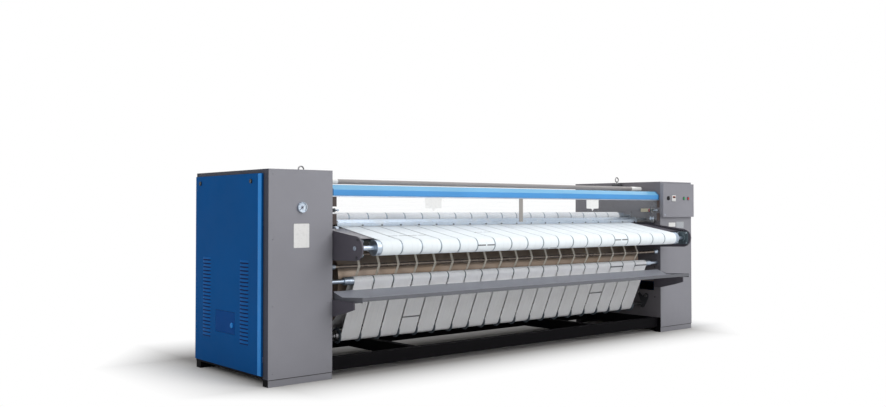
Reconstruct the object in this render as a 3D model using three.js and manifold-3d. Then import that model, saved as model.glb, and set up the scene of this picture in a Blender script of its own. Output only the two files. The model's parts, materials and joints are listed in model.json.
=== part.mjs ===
// A flatwork ironer with a heated cylinder: front feed, front return, 3 m ironing width.
// Millimetres. X runs along the machine towards the control side, Y to the back, Z up.
// While it is built, x = 0 is mid-length, y = 0 the front face of the columns and z = 0 the floor.
// The last lines move everything so that the origin is the middle of the footprint.
import * as THREE from 'three';
import { mergeVertices } from 'three/addons/utils/BufferGeometryUtils.js';
import Module from 'manifold-3d';

const wasm = await Module();
wasm.setup();

// ---------------------------------------------------------------- driving dimensions
// whole machine
const length = 4270; // over the two columns
const depth = 969; // column front face to column back face
const height = 1300; // floor to column top
const columnWidth = 452;
const sheet = 2; // shells, panels and covers
const gap = 0.3; // what touching pieces keep between them
const weld = 1; // how far the blocks of one piece run into each other
const past = 1; // how far a cutter runs past the face that it cuts
const runningGap = 0.4; // radial clearance of a shaft in its plate

// base
const footHeight = 44;
const footDepth = 62;
const footSetback = 3; // foot face behind the column face
const beamHeight = 81;
const beamWidth = 60;
const beamWall = 4;
const frontBeamSetback = 37;
const rearBeamSetback = 84; // rear beam back face to column back face
const crossWidth = 60;
const crossLeftX = -968;
const crossRightX = 885;
const endRailWidth = 50; // rails of each end frame

// columns
const innerPlateThickness = 6;
const panelProud = 10;
const panelFrontMargin = 61;
const panelBackMargin = 8;
const panelTopMargin = 25;
const panelBottomMargin = 60;
const lockRadius = 13;
const lockThickness = 8;
const lockFrontY = 194;
const lockRearSetback = 80; // rear lock from the column back face
const lockBelowTop = 71;
const hatchY = 532;
const hatchZ = 342;
const hatchWidth = 263;
const hatchHeight = 140;
const hatchKnobRadius = 17;
const hatchKnobInset = 32; // knob centre from the front edge of the hatch
const hatchKnobProud = 8;
const hatchGap = 1.5;
const hatchKnobRaise = -13;
const hatchCamLength = 42;
const hatchTabInset = 22;
const hatchTabReach = 8;
const hatchTabHalf = 12;
const lockStem = 5;
const lipDepth = 62; // lip of the column cover
const lockCam = 3;
const lockCamLength = 24;
const louvreCount = 22;
const louvrePitch = 23.6;
const louvreSlot = 7;
const louvreWidth = 104;
const louvreBottomZ = 230;
const louvreFrontY = 227;
const louvreRearY = 739;
const eyeRing = 20; // centre-line radius of the lifting eye
const eyeRod = 5;
const eyeCollarRadius = 13;
const eyeCollarHeight = 9;
const eyeShoulder = 6; // cone between the collar and the neck
const eyeNeck = 6; // radius of the neck
const eyeInset = 39; // eye axis from the inner plate, over the opening
const eyeY = 442;
const eyeRise = 50; // top of the eye above the columns
const lugSize = 66;
const lugHeight = 24;
const lugBelowTop = 16;

// heated cylinder
const cylinderAllowance = 27; // radius above a third of the depth
const cylinderRadius = depth / 3 + cylinderAllowance;
const cylinderEndSpace = 131; // shell end to inner plate
const cylinderForward = 0.5; // axis in front of mid-depth
const cylinderY = depth / 2 - cylinderForward;
const cylinderZ = 600;
const journalRadius = 55;
const journalStub = 95; // journal past the outer face of the inner plate
const bearingRadius = 105;
const bearingWidth = 42;
const bearingFlange = 14; // thickness of the bearing's flange
const bearingStep = 18; // housing radius below the flange's
const cylinderFacets = 48;
const cylinderWall = 14;
const cylinderHead = 25;
const steamBore = 20;
const rollerWall = 5;
const rollerVent = 3; // vent hole of a welded roller, through one shaft end
const beltStep = Math.PI / 6; // steps of a belt round a roller
const cylinderStep = Math.PI / 15; // and round the cylinder
const rollerFacets = 18;
const hubReach = 54; // end hub of the upper front roller
const hubRadius = 30;
const feedDiscWidth = 8;
const feedDiscProud = 4;
const feedShaftPast = 6; // feed roller shaft beyond the outer face of its arm
const armInset = 4; // feed arm from the inner plate
const cylinderRim = 14; // rolled edge step of the cylinder heads
const rimInset = 30; // head radius below the shell's, at its outer face
const rimChamfer = 10;

// belts
const beltEndSpace = 175; // least space from the outer belts to the inner plates
const beltPitch = 159;
const beltGap = 9;
const beltThickness = 2.4;
const webThickness = 0.8; // thin web that joins the belts of a set in this model
const rollerOverhang = 30; // bare roller beyond the outer belt

// ironing belt rollers: [y, z, radius]
const lowerRearSetback = 117; // rear rollers from the column back face
const upperRearSetback = 105;
const upperFrontRoller = [338, 1000, 34];
const exitRoller = [43, 599, 27];
const lowerFrontRoller = [211, 232, 34];
const lowerRearRoller = [depth - lowerRearSetback, 240, 34];
const upperRearRoller = [depth - upperRearSetback, 958, 34];
const rollerShaftRadius = 15;
const shaftStub = 22; // shaft end past the outer face of the inner plate
const exitCollarLength = 38;
const exitCollarRadius = 25.5;

// feed conveyor
const feedFrontRoller = [-240, 820, 46];
const feedRearRoller = [212, 906, 40];
const feedShaftRadius = 14;
const armThickness = 12;
const armTipRadius = 75;
const armTipSteps = 10; // flats of the round tip
const armTopBack = [272, 957];
const armBottomBack = [219, 732];
const bedThickness = 3;
const bedEndSetback = 68; // bed ends short of the roller axes
const armFootY = [120, 208]; // pad between arm and inner plate
const armFootZ = [780, 850];
const bedClearance = 0.5; // under the belts
const flangeSize = 106; // feed roller flange bearing
const flangeThickness = 12;
const flangeHubRadius = 34;
const flangeHubLength = 26;

// guide rods for the tapes
const lowerRod = [42, 694, 12.5];
const upperRod = [66, 766, 8];
const rodConeLength = 42;
const rodPlateRadius = 22;
const rodPlateLength = 14;
const rodConeTop = 3; // cone radius above the rod's, at its thin end

// guard
const beamFrontY = 13;
const beamBottomZ = 1143;
const beamFaceHeight = 40;
const beamSlopeDepth = 35;
const beamSlopeHeight = 31;
const beamTopDepth = 30;
const beamTopRise = 1;
const beamLip = 30;
const beamSheet = 2.5;
const endPlateThickness = 4;
const guardSheetY = 10; // front face of the hanging sheet
const guardSheetThickness = 3;
const guardBottomZ = 962;
const guardBeadRadius = 3.5;
const guardEndGap = 2;
const guardStripWidth = 39;
const guardStripX = -10;
const guardStripThickness = 3;
const guardStripMargin = 4; // strip end above the sheet's lower edge

// nip bar
const nipY = 145;
const nipBottomZ = 947;
const nipFaceHeight = 25;
const nipSlope = 20;
const nipSheet = 3;
const nipBracketZ = 962;
const nipBracketHeight = 22;
const nipBracketThickness = 6;
const nipBracketLap = 8; // bracket behind the end of the strip
const nipEndSpace = 133; // end of the strip to inner plate

// tie tube behind the beam
const tieY = 212;
const tieBelowTop = 60;
const tieRadius = 15;
const tieSleeveRadius = 17.5;
const tieSleeveLeft = 172;
const tieSleeveRight = 137;
const tieInSleeve = 20; // bar inside each sleeve

// limit switches
const switchZ = 1052;
const switchNose = 60; // front of the switch nose behind the column face
const switchNoseLength = 48;
const switchNoseRadius = 13;
const switchBodyLength = 74;
const switchBodySize = 30;
const plungerRadius = 5;
const plungerHeadRadius = 8;
const plungerHeadLength = 8;
const plungerTravel = 4;
const plungerFrontY = 17.5; // behind the sheet, at the end of the guard's play
const plungerGuide = 20; // length that stays in the nose
const switchBracketThickness = 4;
const switchBracketInset = 10; // bracket from each end of the body
const switchLeftReach = 53; // switch axis from the left inner plate
const switchRightReach = 20;

// tray
const trayBackY = 20;
const trayBackZ = 540;
const trayFoldY = -80;
const trayFloorZ = 500;
const trayFloorRise = 3;
const trayFrontY = -300;
const trayLip = 25;
const traySheet = 2.5;
const trayEndGap = 18; // tray end to inner plate
const trayFlangeBottomZ = 492;
const bracketFrontY = -232;
const bracketBackY = 65;
const bracketFrontHeight = 44;
const bracketBackZ = 386;
const bracketThickness = 10;
const bracketKneeY = -134;
const bracketKneeZ = 419;
const bracketShelf = 44;
const bracketShelfThickness = 5;
const plateWindowY = [71, 231]; // opening for belt threading in each inner plate
const plateWindowZ = [356, 434];

// drive side
const sprocketRadius = 112;
const sprocketWidth = 10;
const driveSprocketRadius = 42;
const driveY = 484;
const driveZ = 255;
const chainThickness = 12;
const chainWidth = 16;
const chainStep = Math.PI / 8; // steps of the chain round a sprocket
const gearboxSize = 150;
const motorRadius = 70;
const motorLength = 160;
const motorShaftRadius = 16;
const motorShaftDepth = 30;
const gearboxSetback = 24;
const motorPlate = 8;
const motorPlateMargin = 20; // base plate beyond the gearbox
const motorPlateClear = 2; // base plate from the column's sides
const driveOffset = 62; // sprocket plane from the outer face of the inner plate

// steam side
const unionRadius = 48;
const unionLength = 110;
const pipeRadius = 17;
const unionPipeBottomZ = 300;
const clampHeight = 30;
const clampMargin = 4; // clamp block round the pipe

// controls
const doorDepth = 30;
const doorTopMargin = 17; // door top below the column top
const doorHeight = 290;
const doorEdgeGap = 2; // door edge inside the column's sides
const doorOpeningMargin = 40;
const controlsBelowDoorTop = 127;
const selectorInset = 70; // each control from the door's inner edge
const selectorRadius = 14;
const selectorHeight = 16;
const selectorStem = 5;
const selectorGrip = 7;
const selectorDisc = 6; // thickness of the knob's disc
const selectorStemPast = 8; // stem behind the door sheet
const pointerPast = 3; // pointer beyond the disc
const controllerInset = 148;
const controllerSize = 50;
const controllerProud = 6;
const controllerBodyDepth = 60;
const startInset = 299;
const stopInset = 361;
const bezelRadius = 15;
const bezelProud = 4;
const buttonRadius = 11;
const buttonProud = 7;
const buttonStem = 6;
const buttonStemLength = 10;
const capLength = 2; // button cap behind the door sheet

// gauge
const gaugeInset = 223; // gauge from the inner edge of the left column
const gaugeBelowTop = 231;
const gaugeRadius = 33;
const gaugeBody = 14;
const gaugeRim = 3;
const gaugeBack = 6;
const needleRest = -(3 * Math.PI) / 4; // the needle points down and left at no pressure
const needleLength = 23;
const needleWidth = 3;
const needleTail = 8;
const needleHubRadius = 3.5;
const needleHubHeight = 3;

// rear cover
const coverBottomZ = 190;
const coverTopZ = 1024;
const coverFlange = 25;

// ---------------------------------------------------------------- worked-out places
const halfLength = length / 2;
const innerX = halfLength - columnWidth; // inner face of each column
const plateOuterX = innerX + innerPlateThickness; // outer face of each inner plate
const armInnerX = innerX - armInset - armThickness; // inner face of each feed arm
const beltCount = Math.floor((2 * (innerX - beltEndSpace) + beltGap) / beltPitch);
const beltSpan = beltCount * beltPitch - beltGap;
const cylinderLength = 2 * (innerX - cylinderEndSpace);
const nipHalf = innerX - nipEndSpace;
const lockRearY = depth - lockRearSetback;
const rollerHalf = beltSpan / 2 + rollerOverhang;
const panelFrontY = panelFrontMargin;
const panelBackY = depth - panelBackMargin;
const panelTopZ = height - panelTopMargin;
const doorX = [innerX + doorEdgeGap, halfLength - doorEdgeGap];
const doorTopZ = height - doorTopMargin;
const doorBottomZ = doorTopZ - doorHeight;
const controlZ = doorTopZ - controlsBelowDoorTop;
const selectorX = doorX[0] + selectorInset;
const controllerX = doorX[0] + controllerInset;
const startX = doorX[0] + startInset;
const stopX = doorX[0] + stopInset;
const gaugeX = -innerX - gaugeInset;
const gaugeZ = height - gaugeBelowTop;
const eyeTopZ = height + eyeRise;
const tieZ = height - tieBelowTop;
const doorOpeningX = [doorX[0] + doorOpeningMargin, doorX[1] - doorOpeningMargin];
const doorOpeningZ = [doorBottomZ + doorOpeningMargin, doorTopZ - doorOpeningMargin];

// ---------------------------------------------------------------- materials
const paint = (color, roughness = 0.5, metalness = 0.1) =>
  new THREE.MeshStandardMaterial({ color, roughness, metalness });
const greyPaint = paint(0x85868c);
const bluePaint = paint(0x134378, 0.4);
const beamPaint = paint(0x5aa2dc, 0.4);
const armPaint = paint(0x45444a, 0.45);
const blackPaint = paint(0x17161a, 0.5);
const zinc = paint(0xb9c6cf, 0.35, 0.9);
const steel = paint(0x9c9894, 0.3, 0.9);
const beltCloth = paint(0xe6eaf0, 0.85, 0);
const clearSheet = paint(0xdfeaf0, 0.1, 0);
const blackPlastic = paint(0x141416, 0.5, 0);
const beigePlastic = paint(0xb9b39c, 0.6, 0);
const greenPlastic = paint(0x159a50, 0.4, 0);
const redPlastic = paint(0xc02a2a, 0.4, 0);
const whitePlastic = paint(0xe4e2dc, 0.5, 0);

const machine = new THREE.Group();

// ---------------------------------------------------------------- geometry helpers
// Keeps only positions, joins equal corners and drops faces with no area.
function clean(geometry) {
  const bare = geometry.index ? geometry.toNonIndexed() : geometry.clone();
  for (const name of Object.keys(bare.attributes)) {
    if (name !== 'position') bare.deleteAttribute(name);
  }
  bare.clearGroups();
  const merged = mergeVertices(bare, 1e-3);
  const index = [];
  for (let i = 0; i < merged.index.count; i += 3) {
    const [a, b, c] = [0, 1, 2].map((k) => merged.index.getX(i + k));
    if (a !== b && b !== c && c !== a) index.push(a, b, c);
  }
  merged.setIndex(index);
  return signedVolume(merged) < 0 ? flipped(merged) : merged;
}

function signedVolume(geometry) {
  const p = geometry.attributes.position;
  const a = new THREE.Vector3();
  const b = new THREE.Vector3();
  const c = new THREE.Vector3();
  let volume = 0;
  for (let i = 0; i < geometry.index.count; i += 3) {
    a.fromBufferAttribute(p, geometry.index.getX(i));
    b.fromBufferAttribute(p, geometry.index.getX(i + 1));
    c.fromBufferAttribute(p, geometry.index.getX(i + 2));
    volume += a.dot(b.cross(c)) / 6;
  }
  return volume;
}

function flipped(geometry) {
  const old = Array.from(geometry.index.array);
  const index = [];
  for (let i = 0; i < old.length; i += 3) index.push(old[i], old[i + 2], old[i + 1]);
  geometry.setIndex(index);
  return geometry;
}

function toSolid(geometry) {
  const shape = clean(geometry);
  return new wasm.Manifold(
    new wasm.Mesh({
      numProp: 3,
      vertProperties: new Float32Array(shape.attributes.position.array),
      triVerts: new Uint32Array(shape.index.array),
    }),
  );
}

function fromSolid(solid) {
  const mesh = solid.getMesh();
  const geometry = new THREE.BufferGeometry();
  geometry.setAttribute('position', new THREE.BufferAttribute(new Float32Array(mesh.vertProperties), 3));
  geometry.setIndex(Array.from(mesh.triVerts));
  return geometry;
}

const join = (...geometries) => fromSolid(geometries.map(toSolid).reduce((a, b) => a.add(b)));
const cut = (geometry, ...tools) =>
  fromSolid(tools.map(toSolid).reduce((a, b) => a.subtract(b), toSolid(geometry)));

// A named mesh with its geometry already in place.
function addPart(name, geometry, material) {
  const mesh = new THREE.Mesh(clean(geometry), material);
  mesh.name = name;
  machine.add(mesh);
}

function block(x, y, z) {
  const geometry = new THREE.BoxGeometry(x[1] - x[0], y[1] - y[0], z[1] - z[0]);
  return geometry.translate((x[0] + x[1]) / 2, (y[0] + y[1]) / 2, (z[0] + z[1]) / 2);
}

const spanX = (a, b) => [Math.min(a, b), Math.max(a, b)];

// An outline of [y, z] points (or a Shape in y and z) carried along X.
const yzToWorld = new THREE.Matrix4().makeBasis(
  new THREE.Vector3(0, 1, 0), new THREE.Vector3(0, 0, 1), new THREE.Vector3(1, 0, 0));
const shapeOf = (points) => new THREE.Shape(points.map((p) => new THREE.Vector2(...p)));
function alongX(outline, x0, x1, curveSegments = 12) {
  const shape = Array.isArray(outline) ? shapeOf(outline) : outline;
  const geometry = new THREE.ExtrudeGeometry(shape, { depth: x1 - x0, bevelEnabled: false, curveSegments });
  return geometry.applyMatrix4(yzToWorld).translate(x0, 0, 0);
}

// An outline of [x, y] points carried up Z.
function alongZ(outline, z0, z1) {
  const settings = { depth: z1 - z0, bevelEnabled: false };
  return new THREE.ExtrudeGeometry(shapeOf(outline), settings).translate(0, 0, z0);
}

// A turned piece about an axis parallel to X through (y, z). The profile is [x, radius] from end to end.
const turnToX = new THREE.Matrix4().makeBasis(
  new THREE.Vector3(0, 0, 1), new THREE.Vector3(1, 0, 0), new THREE.Vector3(0, 1, 0));
function turned(profile, y, z, segments = 20) {
  const points = profile.map(([x, r]) => new THREE.Vector2(r, x));
  return new THREE.LatheGeometry(points, segments).applyMatrix4(turnToX).translate(0, y, z);
}

const rodX = (x0, x1, y, z, r, segments = 20) =>
  turned([[x0, 0], [x0, r], [x1, r], [x1, 0]], y, z, segments);

// A cutter for a hole that a round piece of radius r passes through.
const boreFacets = 24;
const boreX = (x0, x1, y, z, r, play = runningGap) =>
  rodX(x0, x1, y, z, (r + play) / Math.cos(Math.PI / boreFacets), boreFacets);

// A turned piece about an axis parallel to Y. The profile is [y, radius].
function turnedY(profile, x, z, segments = 20) {
  const points = profile.map(([y, r]) => new THREE.Vector2(r, y));
  return new THREE.LatheGeometry(points, segments).translate(x, 0, z);
}

const rodY = (y0, y1, x, z, r, segments = 20) =>
  turnedY([[y0, 0], [y0, r], [y1, r], [y1, 0]], x, z, segments);

// A cutter for a round hole along Y that a round piece of radius r passes through.
const boreY = (y0, y1, x, z, r) =>
  rodY(y0, y1, x, z, (r + runningGap) / Math.cos(Math.PI / boreFacets), boreFacets);

// The outline of a folded sheet: a polyline with a thickness to its left, corners mitred.
function folded(points, thickness) {
  const v = points.map((p) => new THREE.Vector2(...p));
  const normal = (a, b) => {
    const d = b.clone().sub(a).normalize();
    return new THREE.Vector2(-d.y, d.x);
  };
  const inner = v.map((p, i) => {
    const before = i > 0 ? normal(v[i - 1], p) : normal(p, v[i + 1]);
    const after = i < v.length - 1 ? normal(p, v[i + 1]) : before;
    const sum = before.clone().add(after);
    return p.clone().addScaledVector(sum, (2 * thickness) / sum.lengthSq());
  });
  return [...v, ...inner.reverse()].map((p) => [p.x, p.y]);
}

// ---------------------------------------------------------------- belts round rollers
// Corners of a closed run round circles {y, z, r, side}: side 1 has the circle inside the loop,
// side -1 outside it. Each arc is cut into steps of at most maxStep, and its corners are moved
// out so that the flats between them clear the circle.
function beltRun(circles, maxStep) {
  const signed = circles.map((c) => ({ ...c, rho: (c.side * c.r) / Math.cos((c.step ?? maxStep) / 2) }));
  const count = signed.length;
  const heading = signed.map((from, i) => {
    const to = signed[(i + 1) % count];
    const dy = to.y - from.y;
    const dz = to.z - from.z;
    return Math.atan2(dz, dy) - Math.asin((to.rho - from.rho) / Math.hypot(dy, dz));
  });
  const corners = [];
  signed.forEach((c, i) => {
    const enter = heading[(i + count - 1) % count];
    let turn = heading[i] - enter;
    while (turn * c.side < 0) turn += c.side * 2 * Math.PI;
    while (turn * c.side >= 2 * Math.PI) turn -= c.side * 2 * Math.PI;
    const steps = Math.max(1, Math.ceil(Math.abs(turn) / (c.step ?? maxStep)));
    for (let k = 0; k <= steps; k += 1) {
      const angle = enter + (turn * k) / steps;
      corners.push({
        y: c.y + c.rho * Math.sin(angle),
        z: c.z - c.rho * Math.cos(angle),
        ny: Math.sin(angle),
        nz: -Math.cos(angle),
      });
    }
  });
  return corners;
}

// A band that follows the run. The section is a list of [x, lift], lift away from the loop's inside.
function band(corners, section) {
  const positions = [];
  const index = [];
  const width = section.length;
  for (const c of corners) {
    for (const [x, lift] of section) positions.push(x, c.y + c.ny * lift, c.z + c.nz * lift);
  }
  for (let i = 0; i < corners.length; i += 1) {
    const j = (i + 1) % corners.length;
    for (let k = 0; k < width; k += 1) {
      const m = (k + 1) % width;
      const [a, b, c, d] = [i * width + k, i * width + m, j * width + m, j * width + k];
      index.push(a, b, c, a, c, d);
    }
  }
  const geometry = new THREE.BufferGeometry();
  geometry.setAttribute('position', new THREE.Float32BufferAttribute(positions, 3));
  geometry.setIndex(index);
  return geometry;
}

// The belts of a set side by side, joined by a thin web in the gaps.
function beltSetSection() {
  const section = [];
  for (let i = 0; i < beltCount; i += 1) {
    const left = -beltSpan / 2 + i * beltPitch;
    const right = left + beltPitch - beltGap;
    if (i > 0) section.push([left, webThickness]);
    section.push([left, beltThickness], [right, beltThickness]);
    if (i < beltCount - 1) section.push([right, webThickness]);
  }
  return [...section, [beltSpan / 2, 0], [-beltSpan / 2, 0]];
}

// The same set as one plain band, for the long run round the cylinder.
const plainSection = [
  [-beltSpan / 2, beltThickness], [beltSpan / 2, beltThickness], [beltSpan / 2, 0], [-beltSpan / 2, 0],
];

// ---------------------------------------------------------------- base
// A square tube along X or Y.
function boxTube(x, y, z, along) {
  const [dx, dy] = along === 'x' ? [-past, beamWall] : [beamWall, -past];
  const bore = block([x[0] + dx, x[1] - dx], [y[0] + dy, y[1] - dy], [z[0] + beamWall, z[1] - beamWall]);
  return cut(block(x, y, z), bore);
}

const beamZ = [footHeight, footHeight + beamHeight];
const frontBeamY = [frontBeamSetback, frontBeamSetback + beamWidth];
const rearBeamY = [depth - rearBeamSetback - beamWidth, depth - rearBeamSetback];
const beamX = [-innerX + gap, innerX - gap];
addPart('base_front_beam', boxTube(beamX, frontBeamY, beamZ, 'x'), blackPaint);
addPart('base_rear_beam', boxTube(beamX, rearBeamY, beamZ, 'x'), blackPaint);
for (const [side, x] of [['left', crossLeftX], ['right', crossRightX]]) {
  const crossX = [x - crossWidth / 2, x + crossWidth / 2];
  const crossY = [frontBeamY[1] + gap, rearBeamY[0] - gap];
  addPart(`base_cross_member_${side}`, boxTube(crossX, crossY, beamZ, 'y'), blackPaint);
}

// Each end frame is a welded rectangle of rails with a foot bar under its front and its back.
for (const [side, sign] of [['left', -1], ['right', 1]]) {
  const outerX = halfLength - sheet - gap;
  const x = spanX(sign * innerX, sign * outerX);
  const y = [sheet + gap, depth - sheet - gap];
  const hole = block([x[0] + endRailWidth, x[1] - endRailWidth], [y[0] + endRailWidth, y[1] - endRailWidth],
    [beamZ[0] - past, beamZ[1] + past]);
  const feet = [footSetback, depth - footSetback - footDepth].map((y0) =>
    block(x, [y0, y0 + footDepth], [0, beamZ[0] + weld]));
  addPart(`base_end_frame_${side}`, join(cut(block(x, y, beamZ), hole), ...feet), blackPaint);
}

// ---------------------------------------------------------------- columns
// Holes of an inner plate: every shaft that passes through it or is fixed in it.
const plateZ = [beamZ[1] + gap, height - sheet - gap];
const plateY = [sheet + gap, depth - sheet - gap];
const passing = [
  [cylinderY, cylinderZ, journalRadius],
  [...upperFrontRoller.slice(0, 2), rollerShaftRadius],
  [...exitRoller.slice(0, 2), rollerShaftRadius],
  [...lowerFrontRoller.slice(0, 2), rollerShaftRadius],
  [...lowerRearRoller.slice(0, 2), rollerShaftRadius],
  [...upperRearRoller.slice(0, 2), rollerShaftRadius],
  [...feedRearRoller.slice(0, 2), feedShaftRadius],
];

const bracketTopZ = trayFlangeBottomZ - gap;
const bracketOutline = [
  [bracketFrontY, bracketTopZ],
  [bracketFrontY, bracketTopZ - bracketFrontHeight],
  [bracketKneeY, bracketKneeZ],
  [plateY[0], bracketBackZ],
  [bracketBackY, bracketBackZ],
  [bracketBackY, bracketTopZ],
];
const panelSpanY = [panelFrontY, panelBackY];
const camX = halfLength - 2 * sheet - 2 * gap; // outer face of a lock's cam, behind the lip
const panelSpanZ = [panelBottomMargin, panelTopZ];
for (const [side, sign] of [['left', -1], ['right', 1]]) {
  const x = spanX(sign * innerX, sign * (innerX + innerPlateThickness));
  const through = [x[0] - past, x[1] + past];
  const holes = passing.map(([y, z, r]) => boreX(...through, y, z, r));
  const threading = block(through, plateWindowY, plateWindowZ);
  addPart(`inner_plate_${side}`, cut(block(x, plateY, plateZ), ...holes, threading), greyPaint);

  // tray bracket: a plate against the inner plate, with a shelf under the tray's end
  const wall = spanX(sign * (innerX - gap - bracketThickness), sign * (innerX - gap));
  const shelf = block(spanX(sign * (innerX - bracketShelf), sign * (innerX - gap - weld)),
    [bracketFrontY, trayBackY], [bracketTopZ - bracketShelfThickness, bracketTopZ]);
  addPart(`tray_bracket_${side}`, join(alongX(bracketOutline, ...wall), shelf), blackPaint);

  // front cover: a sheet with a return round the outer corner
  const outer = halfLength;
  const frontCover = alongZ([
    [sign * innerX, 0],
    [sign * outer, 0],
    [sign * outer, panelFrontMargin - gap],
    [sign * (outer - sheet), panelFrontMargin - gap],
    [sign * (outer - sheet), sheet],
    [sign * innerX, sheet],
  ], footHeight, height);
  const doorOpening = block(doorOpeningX, [-past, sheet + past], doorOpeningZ);
  addPart(`column_front_${side}`, side === 'right' ? cut(frontCover, doorOpening) : frontCover, greyPaint);

  // top and back cover: one bent sheet, with a lip along the top that the panel locks turn behind
  const coverX = spanX(sign * innerX, sign * (outer - sheet - gap));
  addPart(`column_cover_${side}`, join(
    block(coverX, [sheet + gap, depth], [height - sheet, height]),
    block(spanX(sign * innerX, sign * outer), [depth - sheet, depth], [footHeight, height]),
    block(spanX(sign * (outer - sheet), sign * outer), [depth - panelBackMargin + gap, depth],
      [footHeight, height]),
    block(spanX(sign * (outer - 2 * sheet - gap), sign * (outer - sheet - gap)),
      [panelFrontMargin, depth - panelBackMargin], [height - lipDepth, height])), greyPaint);

  // side panel: a shallow tray that hangs on the column's outer side, with louvres and locks
  const panelX = sign * (outer + panelProud);
  const panelBody = block(spanX(panelX, sign * (outer + gap)), panelSpanY, panelSpanZ);
  const hollow = block(
    spanX(sign * (outer + panelProud - sheet), sign * (outer + gap - past)),
    [panelSpanY[0] + sheet, panelSpanY[1] - sheet],
    [panelSpanZ[0] + sheet, panelSpanZ[1] - sheet]);
  const lockZ = height - lockBelowTop;
  const throughPanel = spanX(sign * (outer - past), panelX + sign * past);
  const lockHoles = [lockFrontY, lockRearY].map((y) => boreX(...throughPanel, y, lockZ, lockStem));
  const louvres = [];
  for (const y of [louvreFrontY, louvreRearY]) {
    for (let i = 0; i < louvreCount; i += 1) {
      const z = louvreBottomZ + i * louvrePitch;
      louvres.push(block(throughPanel, [y, y + louvreWidth], [z, z + louvreSlot]));
    }
  }
  const hatchHole = sign < 0
    ? [block(throughPanel, [hatchY - hatchWidth / 2, hatchY + hatchWidth / 2],
      [hatchZ - hatchHeight / 2, hatchZ + hatchHeight / 2])]
    : [];
  addPart(`side_panel_${side}`, cut(panelBody, hollow, ...lockHoles, ...louvres, ...hatchHole), bluePaint);
  for (const [end, y] of [['front', lockFrontY], ['rear', lockRearY]]) {
    const headX = panelX + sign * gap;
    const lock = join(
      rodX(...spanX(headX, headX + sign * lockThickness), y, lockZ, lockRadius, 20),
      rodX(...spanX(headX + sign * weld, sign * (camX - lockCam)), y, lockZ, lockStem, 16),
      block(spanX(sign * camX, sign * (camX - lockCam)), [y - lockStem, y + lockCamLength],
        [lockZ - lockStem, lockZ + lockStem]));
    addPart(`panel_lock_${side}_${end}`, lock, blackPlastic);
  }
}

// Service hatch in the left side panel: a flat door with a hinge edge at the back and a turn knob.
const hatchX = -halfLength - panelProud;
const hatchSpanY = [hatchY - hatchWidth / 2 + hatchGap, hatchY + hatchWidth / 2 - hatchGap];
const hatchSpanZ = [hatchZ - hatchHeight / 2 + hatchGap, hatchZ + hatchHeight / 2 - hatchGap];
const hatchKnobY = hatchSpanY[0] + hatchKnobInset;
const hatchKnobZ = hatchZ + hatchKnobRaise;
const hatchBack = hatchX + sheet;
const hatchTabY = [hatchSpanY[1] - hatchTabReach, hatchSpanY[1] + hatchTabReach];
const hatchTabs = [hatchSpanZ[0] + hatchTabInset, hatchSpanZ[1] - hatchTabInset].map((z) => join(
  block([hatchBack + gap, hatchBack + gap + sheet], hatchTabY, [z - hatchTabHalf, z + hatchTabHalf]),
  block([hatchBack - weld, hatchBack + weld], [hatchTabY[0], hatchSpanY[1] - weld],
    [z - hatchTabHalf, z + hatchTabHalf])));
addPart('service_hatch', cut(
  join(block([hatchX, hatchBack], hatchSpanY, hatchSpanZ), ...hatchTabs),
  boreX(hatchX - past, hatchBack + past, hatchKnobY, hatchKnobZ, lockStem)), bluePaint);
addPart('service_hatch_lock', join(
  rodX(hatchX - gap - hatchKnobProud, hatchX - gap, hatchKnobY, hatchKnobZ, hatchKnobRadius, 20),
  rodX(hatchX - gap - weld, hatchBack + lockCam, hatchKnobY, hatchKnobZ, lockStem, 16),
  block([hatchBack + gap, hatchBack + lockCam], [hatchKnobY - lockStem, hatchKnobY + lockStem],
    [hatchKnobZ - hatchCamLength, hatchKnobZ + lockStem])), blackPlastic);

// Lifting eyes on lugs that are bolted to the inner plates.
for (const [side, sign] of [['left', -1], ['right', 1]]) {
  const x = sign * (innerX - eyeInset);
  const lugTop = height - lugBelowTop;
  const ringZ = eyeTopZ - eyeRing - eyeRod;
  const lug = block(spanX(sign * (innerX - gap), x - sign * lugSize / 2),
    [eyeY - lugSize / 2, eyeY + lugSize / 2], [lugTop - lugHeight, lugTop]);
  const neckTop = ringZ - eyeRing - lugTop + 2 * weld;
  const collar = turned([
    [0, 0],
    [0, eyeCollarRadius],
    [eyeCollarHeight, eyeCollarRadius],
    [eyeCollarHeight + eyeShoulder, eyeNeck],
    [neckTop, eyeNeck],
    [neckTop, 0],
  ], 0, 0, 20).rotateY(-Math.PI / 2).translate(x, eyeY, lugTop - weld);
  const ring = new THREE.TorusGeometry(eyeRing, eyeRod, 8, 24)
    .rotateX(-Math.PI / 2).translate(x, eyeY, ringZ);
  addPart(`lifting_eye_${side}`, join(lug, collar, ring), blackPaint);
}

// Rear cover between the columns: a sheet with folded edges.
const coverInside = depth - sheet - gap - coverFlange;
const coverOutline = folded([
  [coverInside, coverBottomZ],
  [depth - gap, coverBottomZ],
  [depth - gap, coverTopZ],
  [coverInside, coverTopZ],
], sheet);
addPart('rear_cover', alongX(coverOutline, -innerX + gap, innerX - gap), greyPaint);

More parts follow.
